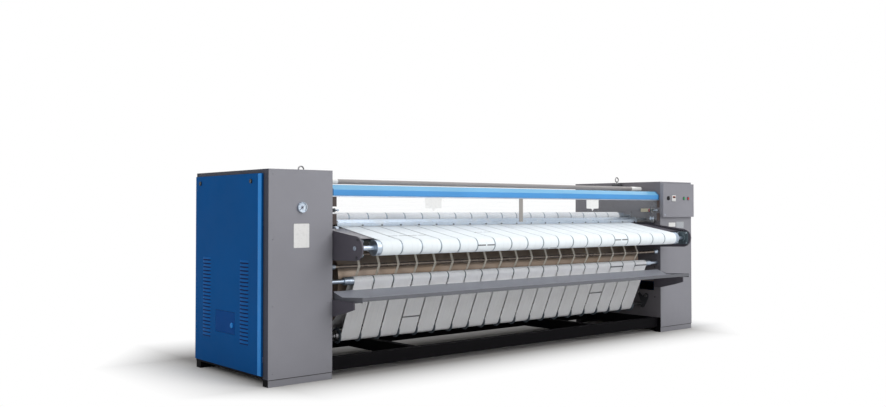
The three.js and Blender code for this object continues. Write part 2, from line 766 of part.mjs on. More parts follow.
// ---------------------------------------------------------------- heated cylinder
// A shell with welded heads. Steam enters through the bore of the left journal,
// and the sprocket is keyed to the right one.
const journalEnd = plateOuterX + journalStub;
const half = cylinderLength / 2;
const sprocketX = plateOuterX + driveOffset;
const headInside = half - cylinderHead;
const cylinderEnd = [
  [-journalEnd, journalRadius],
  [-half - cylinderRim, journalRadius],
  [-half - cylinderRim, cylinderRadius - rimInset],
  [-half, cylinderRadius - rimChamfer],
  [-half, cylinderRadius],
];
addPart('heated_cylinder', turned([
  [headInside, 0],
  [headInside, cylinderRadius - cylinderWall],
  [-headInside, cylinderRadius - cylinderWall],
  [-headInside, steamBore],
  [-journalEnd, steamBore],
  ...cylinderEnd,
  ...cylinderEnd.slice(1).reverse().map(([x, r]) => [-x, r]),
  [sprocketX, journalRadius],
  [sprocketX, sprocketRadius],
  [sprocketX + sprocketWidth, sprocketRadius],
  [sprocketX + sprocketWidth, journalRadius],
  [journalEnd, journalRadius],
  [journalEnd, 0],
], cylinderY, cylinderZ, cylinderFacets), steel);

for (const [side, sign] of [['left', -1], ['right', 1]]) {
  const near = plateOuterX + gap;
  const boreRadius = (journalRadius + runningGap) / Math.cos(Math.PI / boreFacets);
  const bore = [[near, boreRadius], [near + bearingWidth, boreRadius]];
  const housing = [
    [near + bearingWidth, bearingRadius - bearingStep],
    [near + bearingFlange, bearingRadius - bearingStep],
    [near + bearingFlange, bearingRadius],
    [near, bearingRadius],
  ];
  const profile = [...bore, ...housing, bore[0]].map(([x, r]) => [sign * x, r]);
  addPart(`cylinder_bearing_${side}`, turned(profile, cylinderY, cylinderZ, boreFacets), blackPaint);
}

// ---------------------------------------------------------------- belt rollers
// A tube roller with welded ends. The end is a list of [x, radius] from the left shaft end to the tube.
function addRoller(name, [y, z, r], end) {
  const shaftEnd = end[0][0];
  const tubeEnd = -end[end.length - 1][0] - rollerWall;
  const profile = [
    [tubeEnd, 0],
    [tubeEnd, r - rollerWall],
    [-tubeEnd, r - rollerWall],
    [-tubeEnd, rollerVent],
    [shaftEnd, rollerVent],
    ...end,
    ...end.slice().reverse().map(([x, radius]) => [-x, radius]),
    [-shaftEnd, 0],
  ];
  addPart(name, turned(profile, y, z, rollerFacets), zinc);
}

// A belt roller has its shaft through both inner plates, and may have a collar at each end of the tube.
function beltRoller(name, place, shaftRadius, collar) {
  const shaftEnd = plateOuterX + shaftStub;
  const end = [[-shaftEnd, shaftRadius]];
  if (collar) {
    end.push([-rollerHalf - collar.length, shaftRadius], [-rollerHalf - collar.length, collar.radius]);
    end.push([-rollerHalf, collar.radius]);
  } else {
    end.push([-rollerHalf, shaftRadius]);
  }
  if (!collar || collar.radius !== place[2]) end.push([-rollerHalf, place[2]]);
  addRoller(name, place, end);
}

beltRoller('upper_front_roller', upperFrontRoller, rollerShaftRadius,
  { length: hubReach, radius: hubRadius });
beltRoller('upper_rear_roller', upperRearRoller, rollerShaftRadius);
beltRoller('lower_rear_roller', lowerRearRoller, rollerShaftRadius);
beltRoller('lower_front_roller', lowerFrontRoller, rollerShaftRadius);
beltRoller('exit_roller', exitRoller, rollerShaftRadius,
  { length: exitCollarLength, radius: exitCollarRadius });
beltRoller('feed_rear_roller', feedRearRoller, feedShaftRadius);

// The front feed roller turns in the bearings on the tips of the feed arms.
const discRadius = feedFrontRoller[2] + feedDiscProud;
addRoller('feed_front_roller', feedFrontRoller, [
  [-armInnerX - armThickness - feedShaftPast, feedShaftRadius],
  [-rollerHalf - feedDiscWidth, feedShaftRadius],
  [-rollerHalf - feedDiscWidth, discRadius],
  [-rollerHalf, discRadius],
  [-rollerHalf, feedFrontRoller[2]],
]);

// ---------------------------------------------------------------- belts
const circle = ([y, z, r], side = 1, step = beltStep) => ({ y, z, r: r + runningGap, side, step });
const ironingRun = beltRun([
  circle(upperFrontRoller),
  circle([cylinderY, cylinderZ, cylinderRadius + beltThickness], -1, cylinderStep),
  circle(exitRoller),
  circle(lowerFrontRoller),
  circle(lowerRearRoller),
  circle(upperRearRoller),
], beltStep);
addPart('ironing_belts', band(ironingRun, plainSection), beltCloth);
const feedRun = beltRun([circle(feedFrontRoller), circle(feedRearRoller)], beltStep);
addPart('feed_belts', band(feedRun, beltSetSection()), beltCloth);

// ---------------------------------------------------------------- feed arms and tape rods
// Each arm is a plate bolted to the inner plate; its tip carries the flange bearing of the front roller.
const tip = feedFrontRoller;
function armShape() {
  const shape = new THREE.Shape();
  shape.moveTo(...armTopBack);
  shape.lineTo(tip[0], tip[1] + armTipRadius);
  shape.absarc(tip[0], tip[1], armTipRadius, Math.PI / 2, (3 * Math.PI) / 2, false);
  shape.lineTo(...armBottomBack);
  shape.closePath();
  return shape;
}

for (const [side, sign] of [['left', -1], ['right', 1]]) {
  const inner = sign * armInnerX;
  const outer = sign * (armInnerX + armThickness);
  const x = spanX(inner, outer);
  const foot = block(spanX(sign * (armInnerX + weld), sign * (innerX - gap)), armFootY, armFootZ);
  const flange = block(spanX(inner - sign * flangeThickness, inner + sign * weld),
    [tip[0] - flangeSize / 2, tip[0] + flangeSize / 2], [tip[1] - flangeSize / 2, tip[1] + flangeSize / 2]);
  const hub = rodX(...spanX(inner - sign * flangeHubLength, inner), tip[0], tip[1], flangeHubRadius, 20);
  const reach = spanX(inner - sign * (flangeHubLength + past), sign * innerX);
  const bores = [
    boreX(...reach, tip[0], tip[1], feedShaftRadius),
    boreX(...reach, feedRearRoller[0], feedRearRoller[1], feedShaftRadius),
    boreX(...reach, ...upperRod, gap),
  ];
  const plate = alongX(armShape(), ...x, armTipSteps);
  addPart(`feed_arm_${side}`, cut(join(plate, foot, flange, hub), ...bores), armPaint);
}

// The rods that the guide tapes turn over. The lower one is clamped between the inner plates,
// the upper one is held in the feed arms.
{
  const [y, z, r] = lowerRod;
  const end = [
    [-innerX + gap, 0],
    [-innerX + gap, rodPlateRadius],
    [-innerX + rodPlateLength, rodPlateRadius],
    [-innerX + rodConeLength, r + rodConeTop],
    [-innerX + rodConeLength, r],
  ];
  const other = end.map(([x, radius]) => [-x, radius]).reverse();
  addPart('tape_rod_lower', turned([...end, ...other], y, z, 20), zinc);
}
// Slider bed under the upper run of the feed belts, folded down at both ends of its width.
{
  const dy = feedRearRoller[0] - tip[0];
  const dz = feedRearRoller[1] - tip[1];
  const tilt = Math.atan2(dz, dy) + Math.asin((feedRearRoller[2] - tip[2]) / Math.hypot(dy, dz));
  const along = [Math.cos(tilt), Math.sin(tilt)];
  const up = [-along[1], along[0]];
  const at = (roller, step, lift) => [0, 1].map((k) =>
    roller[k] + up[k] * (roller[2] + lift) + along[k] * step);
  const topLift = -bedClearance;
  const bottomLift = topLift - bedThickness;
  addPart('slider_bed', alongX([
    at(tip, bedEndSetback, topLift), at(feedRearRoller, -bedEndSetback, topLift),
    at(feedRearRoller, -bedEndSetback, bottomLift), at(tip, bedEndSetback, bottomLift),
  ], -armInnerX + gap, armInnerX - gap), zinc);
}

// ---------------------------------------------------------------- guard beam and what hangs from it
const beamX0 = innerX - gap;
const beamSlopeY = beamFrontY + beamSlopeDepth;
const beamSlopeZ = beamBottomZ + beamFaceHeight + beamSlopeHeight;
const beamBackY = beamSlopeY + beamTopDepth;
const beamTopZ = beamSlopeZ + beamTopRise;
const beamOutline = folded([
  [beamFrontY + beamLip, beamBottomZ],
  [beamFrontY, beamBottomZ],
  [beamFrontY, beamBottomZ + beamFaceHeight],
  [beamSlopeY, beamSlopeZ],
  [beamBackY, beamTopZ],
  [beamBackY, beamTopZ - beamLip],
].reverse(), beamSheet);
const endPlateOutline = [
  [beamFrontY + weld, beamBottomZ + weld],
  [beamBackY - weld, beamBottomZ + weld],
  [beamBackY - weld, beamTopZ - weld],
  [beamSlopeY, beamSlopeZ - weld],
  [beamFrontY + weld, beamBottomZ + beamFaceHeight],
];
addPart('guard_beam', join(
  alongX(beamOutline, -beamX0 + weld, beamX0 - weld),
  alongX(endPlateOutline, -beamX0, -beamX0 + endPlateThickness),
  alongX(endPlateOutline, beamX0 - endPlateThickness, beamX0)), beamPaint);

// The finger guard: a clear sheet on a hinge bead under the beam, with a stiffening strip
// where its halves meet.
const beadZ = beamBottomZ - gap - guardBeadRadius;
const guardY = [guardSheetY, guardSheetY + guardSheetThickness];
const guardHalf = innerX - guardEndGap;
const beadY = (guardY[0] + guardY[1]) / 2;
addPart('finger_guard', join(
  block([-guardHalf, guardHalf], guardY, [guardBottomZ, beadZ]),
  rodX(-guardHalf, guardHalf, beadY, beadZ, guardBeadRadius, 12),
  block([guardStripX - guardStripWidth / 2, guardStripX + guardStripWidth / 2],
    [guardY[0] - guardStripThickness, guardY[0] + weld],
    [guardBottomZ + guardStripMargin, beadZ - guardBeadRadius])), clearSheet);

// ---------------------------------------------------------------- nip bar
{
  const lower = [nipY, nipBottomZ];
  const fold = [nipY, nipBottomZ + nipFaceHeight];
  const edge = [nipY + nipSlope, nipBottomZ + nipFaceHeight + nipSlope];
  const strip = alongX(folded([lower, fold, edge].reverse(), nipSheet), -nipHalf, nipHalf);
  const bracketY = [nipY + nipSheet - weld, nipY + nipSheet + nipBracketThickness];
  const bracketZ = [nipBracketZ, nipBracketZ + nipBracketHeight];
  const brackets = [-1, 1].map((sign) =>
    block(spanX(sign * (innerX - gap), sign * (nipHalf - nipBracketLap)), bracketY, bracketZ));
  addPart('nip_bar', join(strip, ...brackets), zinc);
}

// ---------------------------------------------------------------- tie tube
addPart('tie_tube', join(
  rodX(-innerX + tieSleeveLeft - tieInSleeve, innerX - tieSleeveRight + tieInSleeve, tieY, tieZ, tieRadius),
  rodX(-innerX + gap, -innerX + tieSleeveLeft, tieY, tieZ, tieSleeveRadius),
  rodX(innerX - tieSleeveRight, innerX - gap, tieY, tieZ, tieSleeveRadius)), steel);

// ---------------------------------------------------------------- tray
{
  const trayHalf = innerX - trayEndGap;
  const floor = folded([
    [trayFrontY, trayFloorZ + trayLip],
    [trayFrontY, trayFloorZ],
    [trayFoldY, trayFloorZ + trayFloorRise],
    [trayBackY, trayBackZ],
  ], traySheet);
  const flangeOutline = [
    [trayFrontY, trayFlangeBottomZ],
    [trayBackY, trayFlangeBottomZ],
    [trayBackY, trayBackZ],
    [trayFrontY, trayFloorZ + trayLip],
  ];
  const flanges = [-1, 1].map((sign) =>
    alongX(flangeOutline, ...spanX(sign * trayHalf, sign * (trayHalf - traySheet))));
  addPart('linen_tray', join(alongX(floor, -trayHalf + weld, trayHalf - weld), ...flanges), greyPaint);
}

// ---------------------------------------------------------------- limit switches
for (const [side, sign, reach] of [['left', -1, switchLeftReach], ['right', 1, switchRightReach]]) {
  const x = sign * (innerX - reach);
  const bodyY = [switchNose + switchNoseLength, switchNose + switchNoseLength + switchBodyLength];
  const size = switchBodySize / 2;
  const bracketY = [bodyY[0] + switchBracketInset, bodyY[1] - switchBracketInset];
  const bracket = block(spanX(sign * (innerX - gap), x), bracketY,
    [switchZ - size, switchZ - size + switchBracketThickness]);
  const pad = block(spanX(sign * (innerX - gap), sign * (innerX - gap - switchBracketThickness)),
    bracketY, [switchZ - size, switchZ + size]);
  const body = join(block([x - size, x + size], bodyY, [switchZ - size, switchZ + size]),
    rodY(switchNose, bodyY[0] + weld, x, switchZ, switchNoseRadius), bracket, pad);
  const guideEnd = switchNose + plungerGuide;
  const bore = boreY(switchNose - past, guideEnd + plungerTravel + past, x, switchZ, plungerRadius);
  addPart(`limit_switch_${side}`, cut(body, bore), beigePlastic);
  const headBack = plungerFrontY + plungerHeadLength;
  addPart(`switch_plunger_${side}`, turnedY([
    [plungerFrontY, 0],
    [plungerFrontY, plungerHeadRadius],
    [headBack, plungerHeadRadius],
    [headBack, plungerRadius],
    [guideEnd, plungerRadius],
    [guideEnd, 0],
  ], x, switchZ), zinc);
}

// ---------------------------------------------------------------- drive
const chainX = sprocketX + sprocketWidth / 2;
const gearboxX = sprocketX + sprocketWidth + gearboxSetback;
addPart('drive_sprocket', turned([
  [sprocketX, 0],
  [sprocketX, driveSprocketRadius],
  [sprocketX + sprocketWidth, driveSprocketRadius],
  [sprocketX + sprocketWidth, motorShaftRadius],
  [gearboxX + motorShaftDepth, motorShaftRadius],
  [gearboxX + motorShaftDepth, 0],
], driveY, driveZ, 24), steel);
{
  const size = gearboxSize / 2;
  const boxX = [gearboxX, gearboxX + gearboxSize];
  const motorX = [boxX[1] - weld, boxX[1] + motorLength];
  const baseX = [plateOuterX + motorPlateClear, halfLength - sheet - 2 * gap - motorPlateClear];
  const floorZ = beamZ[1] + gap;
  const body = join(
    block(boxX, [driveY - size, driveY + size], [driveZ - size, driveZ + size]),
    rodX(...motorX, driveY, driveZ, motorRadius, 24),
    block(boxX, [driveY - size, driveY + size], [floorZ, driveZ - size + weld]),
    block(baseX, [driveY - size - motorPlateMargin, driveY + size + motorPlateMargin],
      [floorZ, floorZ + motorPlate]));
  const boreEnd = gearboxX + motorShaftDepth + 2 * past;
  const bore = boreX(gearboxX - past, boreEnd, driveY, driveZ, motorShaftRadius);
  addPart('gear_motor', cut(body, bore), blackPaint);
}
const chainRun = beltRun([
  circle([cylinderY, cylinderZ, sprocketRadius], 1, chainStep),
  circle([driveY, driveZ, driveSprocketRadius], 1, chainStep),
], chainStep);
const chainSection = [
  [chainX - chainWidth / 2, chainThickness], [chainX + chainWidth / 2, chainThickness],
  [chainX + chainWidth / 2, 0], [chainX - chainWidth / 2, 0],
];
addPart('drive_chain', band(chainRun, chainSection), steel);

// ---------------------------------------------------------------- steam side
{
  const unionX = -journalEnd - gap;
  const pipeX = unionX - unionLength / 2;
  const topOfClamp = unionPipeBottomZ + clampHeight;
  addPart('steam_union', join(
    rodX(unionX - unionLength, unionX, cylinderY, cylinderZ, unionRadius, 24),
    new THREE.CylinderGeometry(pipeRadius, pipeRadius, cylinderZ - unionPipeBottomZ, 20)
      .rotateX(Math.PI / 2).translate(pipeX, cylinderY, (cylinderZ + unionPipeBottomZ) / 2),
    block([pipeX - pipeRadius - clampMargin, -plateOuterX - gap],
      [cylinderY - pipeRadius - clampMargin, cylinderY + pipeRadius + clampMargin],
      [unionPipeBottomZ, topOfClamp])), blackPaint);
}

// ---------------------------------------------------------------- control door
const doorFrontY = -doorDepth;
const doorInsideY = doorFrontY + sheet;
{
  const shell = cut(
    block(doorX, [doorFrontY, -gap], [doorBottomZ, doorTopZ]),
    block([doorX[0] + sheet, doorX[1] - sheet], [doorInsideY, past],
      [doorBottomZ + sheet, doorTopZ - sheet]));
  const bezels = [startX, stopX].map((x) =>
    rodY(doorFrontY - bezelProud, doorFrontY + weld, x, controlZ, bezelRadius, 24));
  const controller = block([controllerX - controllerSize / 2, controllerX + controllerSize / 2],
    [doorFrontY - controllerProud, doorFrontY + controllerBodyDepth],
    [controlZ - controllerSize / 2, controlZ + controllerSize / 2]);
  const wells = [startX, stopX].map((x) =>
    boreY(doorFrontY - bezelProud - past, doorInsideY + past, x, controlZ, buttonRadius));
  const stemHole = boreY(doorFrontY - past, doorInsideY + past, selectorX, controlZ, selectorStem);
  addPart('control_door', cut(join(shell, ...bezels, controller), ...wells, stemHole), greyPaint);
}
const selectorBase = doorFrontY - gap; // back face of the knob
const pointer = block([selectorX - selectorGrip / 2, selectorX + selectorGrip / 2],
  [selectorBase - selectorHeight, selectorBase - selectorDisc + 2 * weld],
  [controlZ - selectorRadius, controlZ + selectorRadius + pointerPast]);
addPart('selector_knob', join(
  turnedY([
    [selectorBase - selectorDisc, 0],
    [selectorBase - selectorDisc, selectorRadius],
    [selectorBase, selectorRadius],
    [selectorBase, selectorStem],
    [doorInsideY + selectorStemPast, selectorStem],
    [doorInsideY + selectorStemPast, 0],
  ], selectorX, controlZ), pointer), blackPlastic);
const capBack = doorInsideY + capLength;
const stemBack = capBack + buttonStemLength;
for (const [name, x, material] of [
  ['start_button', startX, greenPlastic],
  ['stop_button', stopX, redPlastic],
]) {
  addPart(name, turnedY([
    [doorFrontY - buttonProud, 0],
    [doorFrontY - buttonProud, buttonRadius],
    [capBack, buttonRadius],
    [capBack, buttonStem],
    [stemBack, buttonStem],
    [stemBack, 0],
  ], x, controlZ, 24), material);
}

// ---------------------------------------------------------------- pressure gauge
const dialY = -gap - gaugeBack;
const gaugeFront = -gap - gaugeBody;
addPart('pressure_gauge', turnedY([
  [-gap, 0],
  [-gap, gaugeRadius],
  [gaugeFront, gaugeRadius],
  [gaugeFront, gaugeRadius - gaugeRim],
  [dialY, gaugeRadius - gaugeRim],
  [dialY, 0],
], gaugeX, gaugeZ, 28), whitePlastic);
const needleY = dialY - gap;
addPart('gauge_needle', join(
  rodY(needleY - needleHubHeight, needleY, gaugeX, gaugeZ, needleHubRadius, 16),
  block([-needleWidth / 2, needleWidth / 2], [needleY - 2 * weld, needleY - weld],
    [-needleTail, needleLength]).rotateY(needleRest).translate(gaugeX, 0, gaugeZ)), redPlastic);

// ---------------------------------------------------------------- the shared frame
machine.updateMatrixWorld(true);
const extent = new THREE.Box3().setFromObject(machine, true);
const middle = extent.getCenter(new THREE.Vector3());
for (const part of machine.children) part.geometry.translate(-middle.x, -middle.y, 0);

export default machine;
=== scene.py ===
import json
import math

import bmesh
import bpy
import numpy as np
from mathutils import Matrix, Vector

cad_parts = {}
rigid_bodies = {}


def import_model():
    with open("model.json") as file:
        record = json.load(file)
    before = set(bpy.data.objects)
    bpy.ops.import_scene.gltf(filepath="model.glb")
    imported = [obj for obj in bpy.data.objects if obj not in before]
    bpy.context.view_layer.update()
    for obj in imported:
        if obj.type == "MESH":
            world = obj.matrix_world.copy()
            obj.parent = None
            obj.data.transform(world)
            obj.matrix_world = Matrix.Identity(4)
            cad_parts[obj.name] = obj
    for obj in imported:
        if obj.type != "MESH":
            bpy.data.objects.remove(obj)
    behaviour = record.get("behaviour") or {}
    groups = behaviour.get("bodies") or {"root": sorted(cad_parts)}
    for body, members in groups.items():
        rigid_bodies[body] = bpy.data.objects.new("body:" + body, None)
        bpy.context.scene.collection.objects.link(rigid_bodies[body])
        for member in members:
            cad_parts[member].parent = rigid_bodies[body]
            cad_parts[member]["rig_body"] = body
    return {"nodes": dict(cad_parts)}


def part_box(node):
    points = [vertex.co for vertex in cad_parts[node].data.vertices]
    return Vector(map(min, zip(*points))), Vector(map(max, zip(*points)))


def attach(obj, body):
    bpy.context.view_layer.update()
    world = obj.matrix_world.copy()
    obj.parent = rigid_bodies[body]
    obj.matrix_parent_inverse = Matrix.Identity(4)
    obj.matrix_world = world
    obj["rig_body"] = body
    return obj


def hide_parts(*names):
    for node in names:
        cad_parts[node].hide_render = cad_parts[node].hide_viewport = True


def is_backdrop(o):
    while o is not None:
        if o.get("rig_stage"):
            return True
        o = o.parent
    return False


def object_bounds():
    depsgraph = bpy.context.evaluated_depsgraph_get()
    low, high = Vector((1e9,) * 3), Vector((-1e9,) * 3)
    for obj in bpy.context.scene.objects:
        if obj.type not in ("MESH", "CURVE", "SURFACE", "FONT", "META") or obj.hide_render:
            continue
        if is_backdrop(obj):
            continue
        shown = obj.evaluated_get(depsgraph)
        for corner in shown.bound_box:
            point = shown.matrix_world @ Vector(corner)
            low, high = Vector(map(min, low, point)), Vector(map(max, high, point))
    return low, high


bl_info = {
    "name": "Flatwork Ironer",
    "version": (1, 0, 0),
    "blender": (4, 5, 0),
    "location": "3D View > Sidebar > Ironer",
    "description": "Dresses the packed flatwork ironer with its covers, belts, rollers, controls "
    "and finishes",
    "category": "Add Mesh",
}

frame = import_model()
CAD_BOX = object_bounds()

MM = 0.001  # shapes are worked out in millimetres and put into the frame in metres
SIDES = (("left", -1), ("right", 1))


# ---- places taken from the frame
def box_of(node):
    """Lowest and highest corner of a CAD node, as two arrays in millimetres."""
    low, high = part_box(node)
    return np.array(low) / MM, np.array(high) / MM


def span_of(node, axis):
    """The lowest and highest place of a CAD node along an axis, 0 for X and 1 for Y."""
    return tuple(corner[axis] for corner in box_of(node))


def middle_of(node):
    """The middle of a CAD node's box."""
    low, high = box_of(node)
    return (low + high) / 2


def axis_of(node):
    """The (y, z) of the axis of a round node that lies along X."""
    return tuple(middle_of(node)[1:])


PLATE_X = box_of("inner_plate_right")[0][0]  # inner face of each inner plate
SHELL_X = box_of("column_front_right")[1][0]  # outer side of each column
FRONT_Y = box_of("column_front_right")[0][1]
TOP_Z = box_of("column_front_right")[1][2]
CYLINDER = axis_of("heated_cylinder")


def at(y, z):
    """A place y behind the column fronts and z above the floor, as (y, z) in the frame."""
    return FRONT_Y + y, z


def behind(near, far):
    """A range of Y from its distances behind the column fronts."""
    return FRONT_Y + near, FRONT_Y + far


def inside(sign, near, far):
    """A range of X from its distances inward of the inner plate on one side."""
    return sign * (PLATE_X - near), sign * (PLATE_X - far)


def about(middle, reach):
    """A range with its middle and half its length given."""
    return middle - reach, middle + reach


# ---- sizes and colours a user may change
def length_property(name, description, default):
    """A length property, its default given in millimetres."""
    return bpy.props.FloatProperty(
        name=name, description=description, default=default * MM, unit="LENGTH", precision=5
    )


def count_property(name, description, default):
    return bpy.props.IntProperty(name=name, description=description, default=default, min=1)


def colour_property(name, description, *screen):
    """A colour property from screen values of 0 to 255."""
    linear = [v / 255 / 12.92 if v <= 10 else ((v / 255 + 0.055) / 1.055) ** 2.4 for v in screen]
    return bpy.props.FloatVectorProperty(
        name=name, description=description, default=linear, size=3, subtype="COLOR", min=0.0, max=1.0
    )


class IronerSizes(bpy.types.PropertyGroup):
    """Sizes of the visible pieces."""

    belt_count: count_property("Belts", "Belts side by side in each set", 19)
    belt_pitch: length_property("Belt pitch", "From one belt's middle to the next", 159)
    belt_width: length_property("Belt width", "Width of one belt", 150)
    belt_thickness: length_property("Belt thickness", "Thickness of one belt", 2.2)
    tape_width: length_property("Tape width", "Width of a guide tape", 19)
    tape_thickness: length_property("Tape thickness", "Thickness of a guide tape", 0.8)
    tape_offset: length_property("Tape offset", "Guide tape left of its belt's middle", 29)
    bend_radius: length_property("Bend radius", "Inside radius of the tray's folds", 2.5)
    cylinder_radius: length_property("Cylinder radius", "Heated cylinder", 350)
    louvre_width: length_property("Louvre width", "Width of one louvre", 104)
    louvre_pitch: length_property("Louvre pitch", "From one louvre to the next", 23.6)
    louvre_count: count_property("Louvres", "Louvres in each column", 22)
    screw_radius: length_property("Screw radius", "Head of a cover screw", 4.5)


class IronerColours(bpy.types.PropertyGroup):
    """Base colours of the finishes."""

    column_grey: colour_property("Column grey", "Powder coat of the columns", 140, 140, 147)
    plate_grey: colour_property("Plate grey", "Paint of the inner plates", 112, 109, 114)
    panel_blue: colour_property("Panel blue", "Side panels", 10, 84, 150)
    # the bent edge's brighter blue is the panel's own paint where it faces the light: painted highlight
    edge_blue: colour_property("Edge blue", "Bright bend along the side panels", 40, 142, 226)
    beam_blue: colour_property("Beam blue", "Guard beam", 78, 150, 212)
    # the guard beam's upward faces take this paler blue as painted highlight from the light above
    beam_top: colour_property("Beam top", "Sloped face of the guard beam", 112, 174, 213)
    frame_black: colour_property("Frame black", "Base frame", 12, 11, 14)
    arm_grey: colour_property("Arm grey", "Feed arms", 84, 81, 90)
    tray_grey: colour_property("Tray grey", "Linen tray", 120, 122, 129)
    feed_white: colour_property("Feed belt white", "Feed belts", 240, 247, 252)
    ironing_grey: colour_property("Ironing belt grey", "Ironing belts", 249, 250, 254)
    tape_beige: colour_property("Tape beige", "Guide tapes", 208, 201, 188)
    zinc: colour_property("Zinc", "Zinc-plated steel", 178, 190, 204)
    trim_dark: colour_property("Trim dark", "Column sides round the panels", 62, 64, 76)
    # the steel's brownish colour is a painted reflection of tan surroundings in the polished cylinder
    steel: colour_property("Steel", "Polished cylinder", 160, 145, 133)
    switch_beige: colour_property("Switch beige", "Limit switch bodies", 186, 178, 150)


def size(name):
    """A length that a user may change, in millimetres."""
    return getattr(bpy.context.scene.ironer_sizes, name) / MM


def belt_centres():
    """The X of each belt's middle."""
    count = bpy.context.scene.ironer_sizes.belt_count
    return (np.arange(count) - (count - 1) / 2) * size("belt_pitch")


def belts_end():
    """The X where the belts end on the right."""
    return belt_centres()[-1] + size("belt_width") / 2


# ---- shader graphs
class Wire:
    """An output socket that takes part in plain arithmetic: each operation adds its Math node."""

    def __init__(self, graph, socket):
        self.graph = graph
        self.socket = socket

    def _math(self, operation, *values):
        return self.graph.add("ShaderNodeMath", {"operation": operation}, dict(enumerate(values)))["Value"]

    def __add__(self, other):
        return self._math("ADD", self, other)

    __radd__ = __add__

    def __sub__(self, other):
        return self._math("SUBTRACT", self, other)

    def __rsub__(self, other):
        return self._math("SUBTRACT", other, self)

    def __mul__(self, other):
        return self._math("MULTIPLY", self, other)

    __rmul__ = __mul__

    def __lt__(self, other):
        return self._math("LESS_THAN", self, other)

    def __gt__(self, other):
        return self._math("GREATER_THAN", self, other)

    def __abs__(self):
        return self._math("ABSOLUTE", self)

    def sine(self):
        return self._math("SINE", self)


class Placed:
    """A node in a graph; indexing it by an output's name or number gives a Wire."""

    def __init__(self, graph, node):
        self.graph = graph
        self.node = node

    def __getitem__(self, name):
        return Wire(self.graph, self.node.outputs[name])


class Graph:
    """A node graph, of a material or the world."""

    def __init__(self, tree):
        self.tree = tree
        self.tree.nodes.clear()

    @classmethod
    def named(cls, name):
        """The graph of a new material."""
        material = bpy.data.materials.new(name)
        material.use_nodes = True
        graph = cls(material.node_tree)
        graph.material = material
        return graph

    def add(self, kind, settings=None, inputs=None):
        """Adds a node: its settings come first, then a value or a Wire for each named socket."""
        node = self.tree.nodes.new(kind)
        for name, value in (settings or {}).items():
            setattr(node, name, value)
        for name, value in (inputs or {}).items():
            if isinstance(value, Wire):
                self.tree.links.new(value.socket, node.inputs[name])
            else:
                node.inputs[name].default_value = value
        return Placed(self, node)

    def place(self):
        return self.add("ShaderNodeTexCoord")["Object"]

    def uv(self):
        return self.add("ShaderNodeTexCoord")["UV"]

    def split(self, vector):
        return self.add("ShaderNodeSeparateXYZ", inputs={"Vector": vector})

    def scaled(self, vector, scale):
        return self.add("ShaderNodeMapping", inputs={"Vector": vector, "Scale": scale})["Vector"]

    def noise(self, vector, scale, detail=3.0, roughness=0.5):
        inputs = {"Vector": vector, "Scale": scale, "Detail": detail, "Roughness": roughness}
        return self.add("ShaderNodeTexNoise", inputs=inputs)["Fac"]

    def voronoi(self, vector, scale):
        return self.add("ShaderNodeTexVoronoi", inputs={"Vector": vector, "Scale": scale})["Distance"]

    def blend(self, factor, first, second):
        """A colour between two colours."""
        return self.add("ShaderNodeMix", {"data_type": "RGBA"}, {0: factor, 6: first, 7: second})[2]

    def span(self, value, low, high, to_low=0.0, to_high=1.0):
        """Maps a value from one range to another, held at the ends."""
        inputs = {"Value": value, "From Min": low, "From Max": high, "To Min": to_low, "To Max": to_high}
        return self.add("ShaderNodeMapRange", inputs=inputs)["Result"]

    def bump(self, height, distance, strength=1.0):
        inputs = {"Height": height, "Distance": distance, "Strength": strength}
        return self.add("ShaderNodeBump", inputs=inputs)["Normal"]

    def surface(self, **inputs):
        """The Principled shader; names use _ for a space."""
        named = {name.replace("_", " "): value for name, value in inputs.items()}
        return self.finish(self.add("ShaderNodeBsdfPrincipled", inputs=named)["BSDF"])

    def finish(self, shader):
        self.add("ShaderNodeOutputMaterial", inputs={"Surface": shader})
        return self.material


def rgba(colour, gain=1.0):
    return tuple(min(1.0, c * gain) for c in colour) + (1.0,)


# ---- finishes
def powder_coat(name, colour, roughness=0.5, grain=0.00025, wear=0.5, gloss=0.3):
    """Baked paint: fine orange peel, faint cloudiness, dull dusty patches and a few small scuffs."""
    g = Graph.named(name)
    place = g.place()
    cloud = g.noise(place, 1.7, 4.0)
    dust = g.span(g.noise(place, 9.0, 5.0, 0.65), 0.45, 0.75)
    scuff = g.span(g.noise(g.scaled(place, (60.0, 60.0, 9.0)), 3.0, 6.0, 0.7), 0.72, 0.78) * (0.35 * wear)
    base = g.blend(g.span(cloud, 0.35, 0.65), rgba(colour, 0.95), rgba(colour, 1.05))
    dusty = g.blend(dust * (0.18 * wear), base, rgba([0.75 * c + 0.05 for c in colour]))
    return g.surface(
        Base_Color=g.blend(scuff, dusty, rgba(colour, 0.6)),
        Roughness=g.span(cloud + dust * 0.6, 0.3, 1.2, roughness - 0.05, roughness + 0.12),
        Specular_IOR_Level=gloss,
        Normal=g.bump(g.noise(place, 900.0, 2.0), grain),
    )


def zinc_plate(name, colour, roughness=0.32, rubbed=0.0):
    """Bright zinc: bluish metal with soft spangle, drawn lines along X and faint yellowing. Between the outer
    edges of the belts it is darkened, by the given share, to a dark teal: painted shade for the drum where it
    shows in the shaded gaps between the belts."""
    g = Graph.named(name)
    place = g.place()
    spangle = g.voronoi(place, 140.0)
    lines = g.noise(g.scaled(place, (6.0, 420.0, 420.0)), 1.0, 3.0)
    stain = g.span(g.noise(place, 14.0, 4.0), 0.5, 0.72)
    base = g.blend(g.span(spangle, 0.1, 0.7), rgba(colour, 0.86), rgba(colour, 1.08))
    base = g.blend(stain * 0.25, base, (0.52, 0.47, 0.36, 1.0))
    if rubbed:
        # painted shade: the drum between the belts' outer edges is darkened as it looks in the shaded belt
        # gaps
        under = abs(g.split(place)["X"]) < belts_end() * MM
        base = g.blend(under * rubbed, base, (0.085, 0.13, 0.145, 1.0))
    return g.surface(
        Base_Color=base,
        Metallic=1.0,
        Roughness=g.span(lines + stain * 0.4, 0.3, 1.0, roughness - 0.08, roughness + 0.16),
        Normal=g.bump(lines, 0.00008),
    )


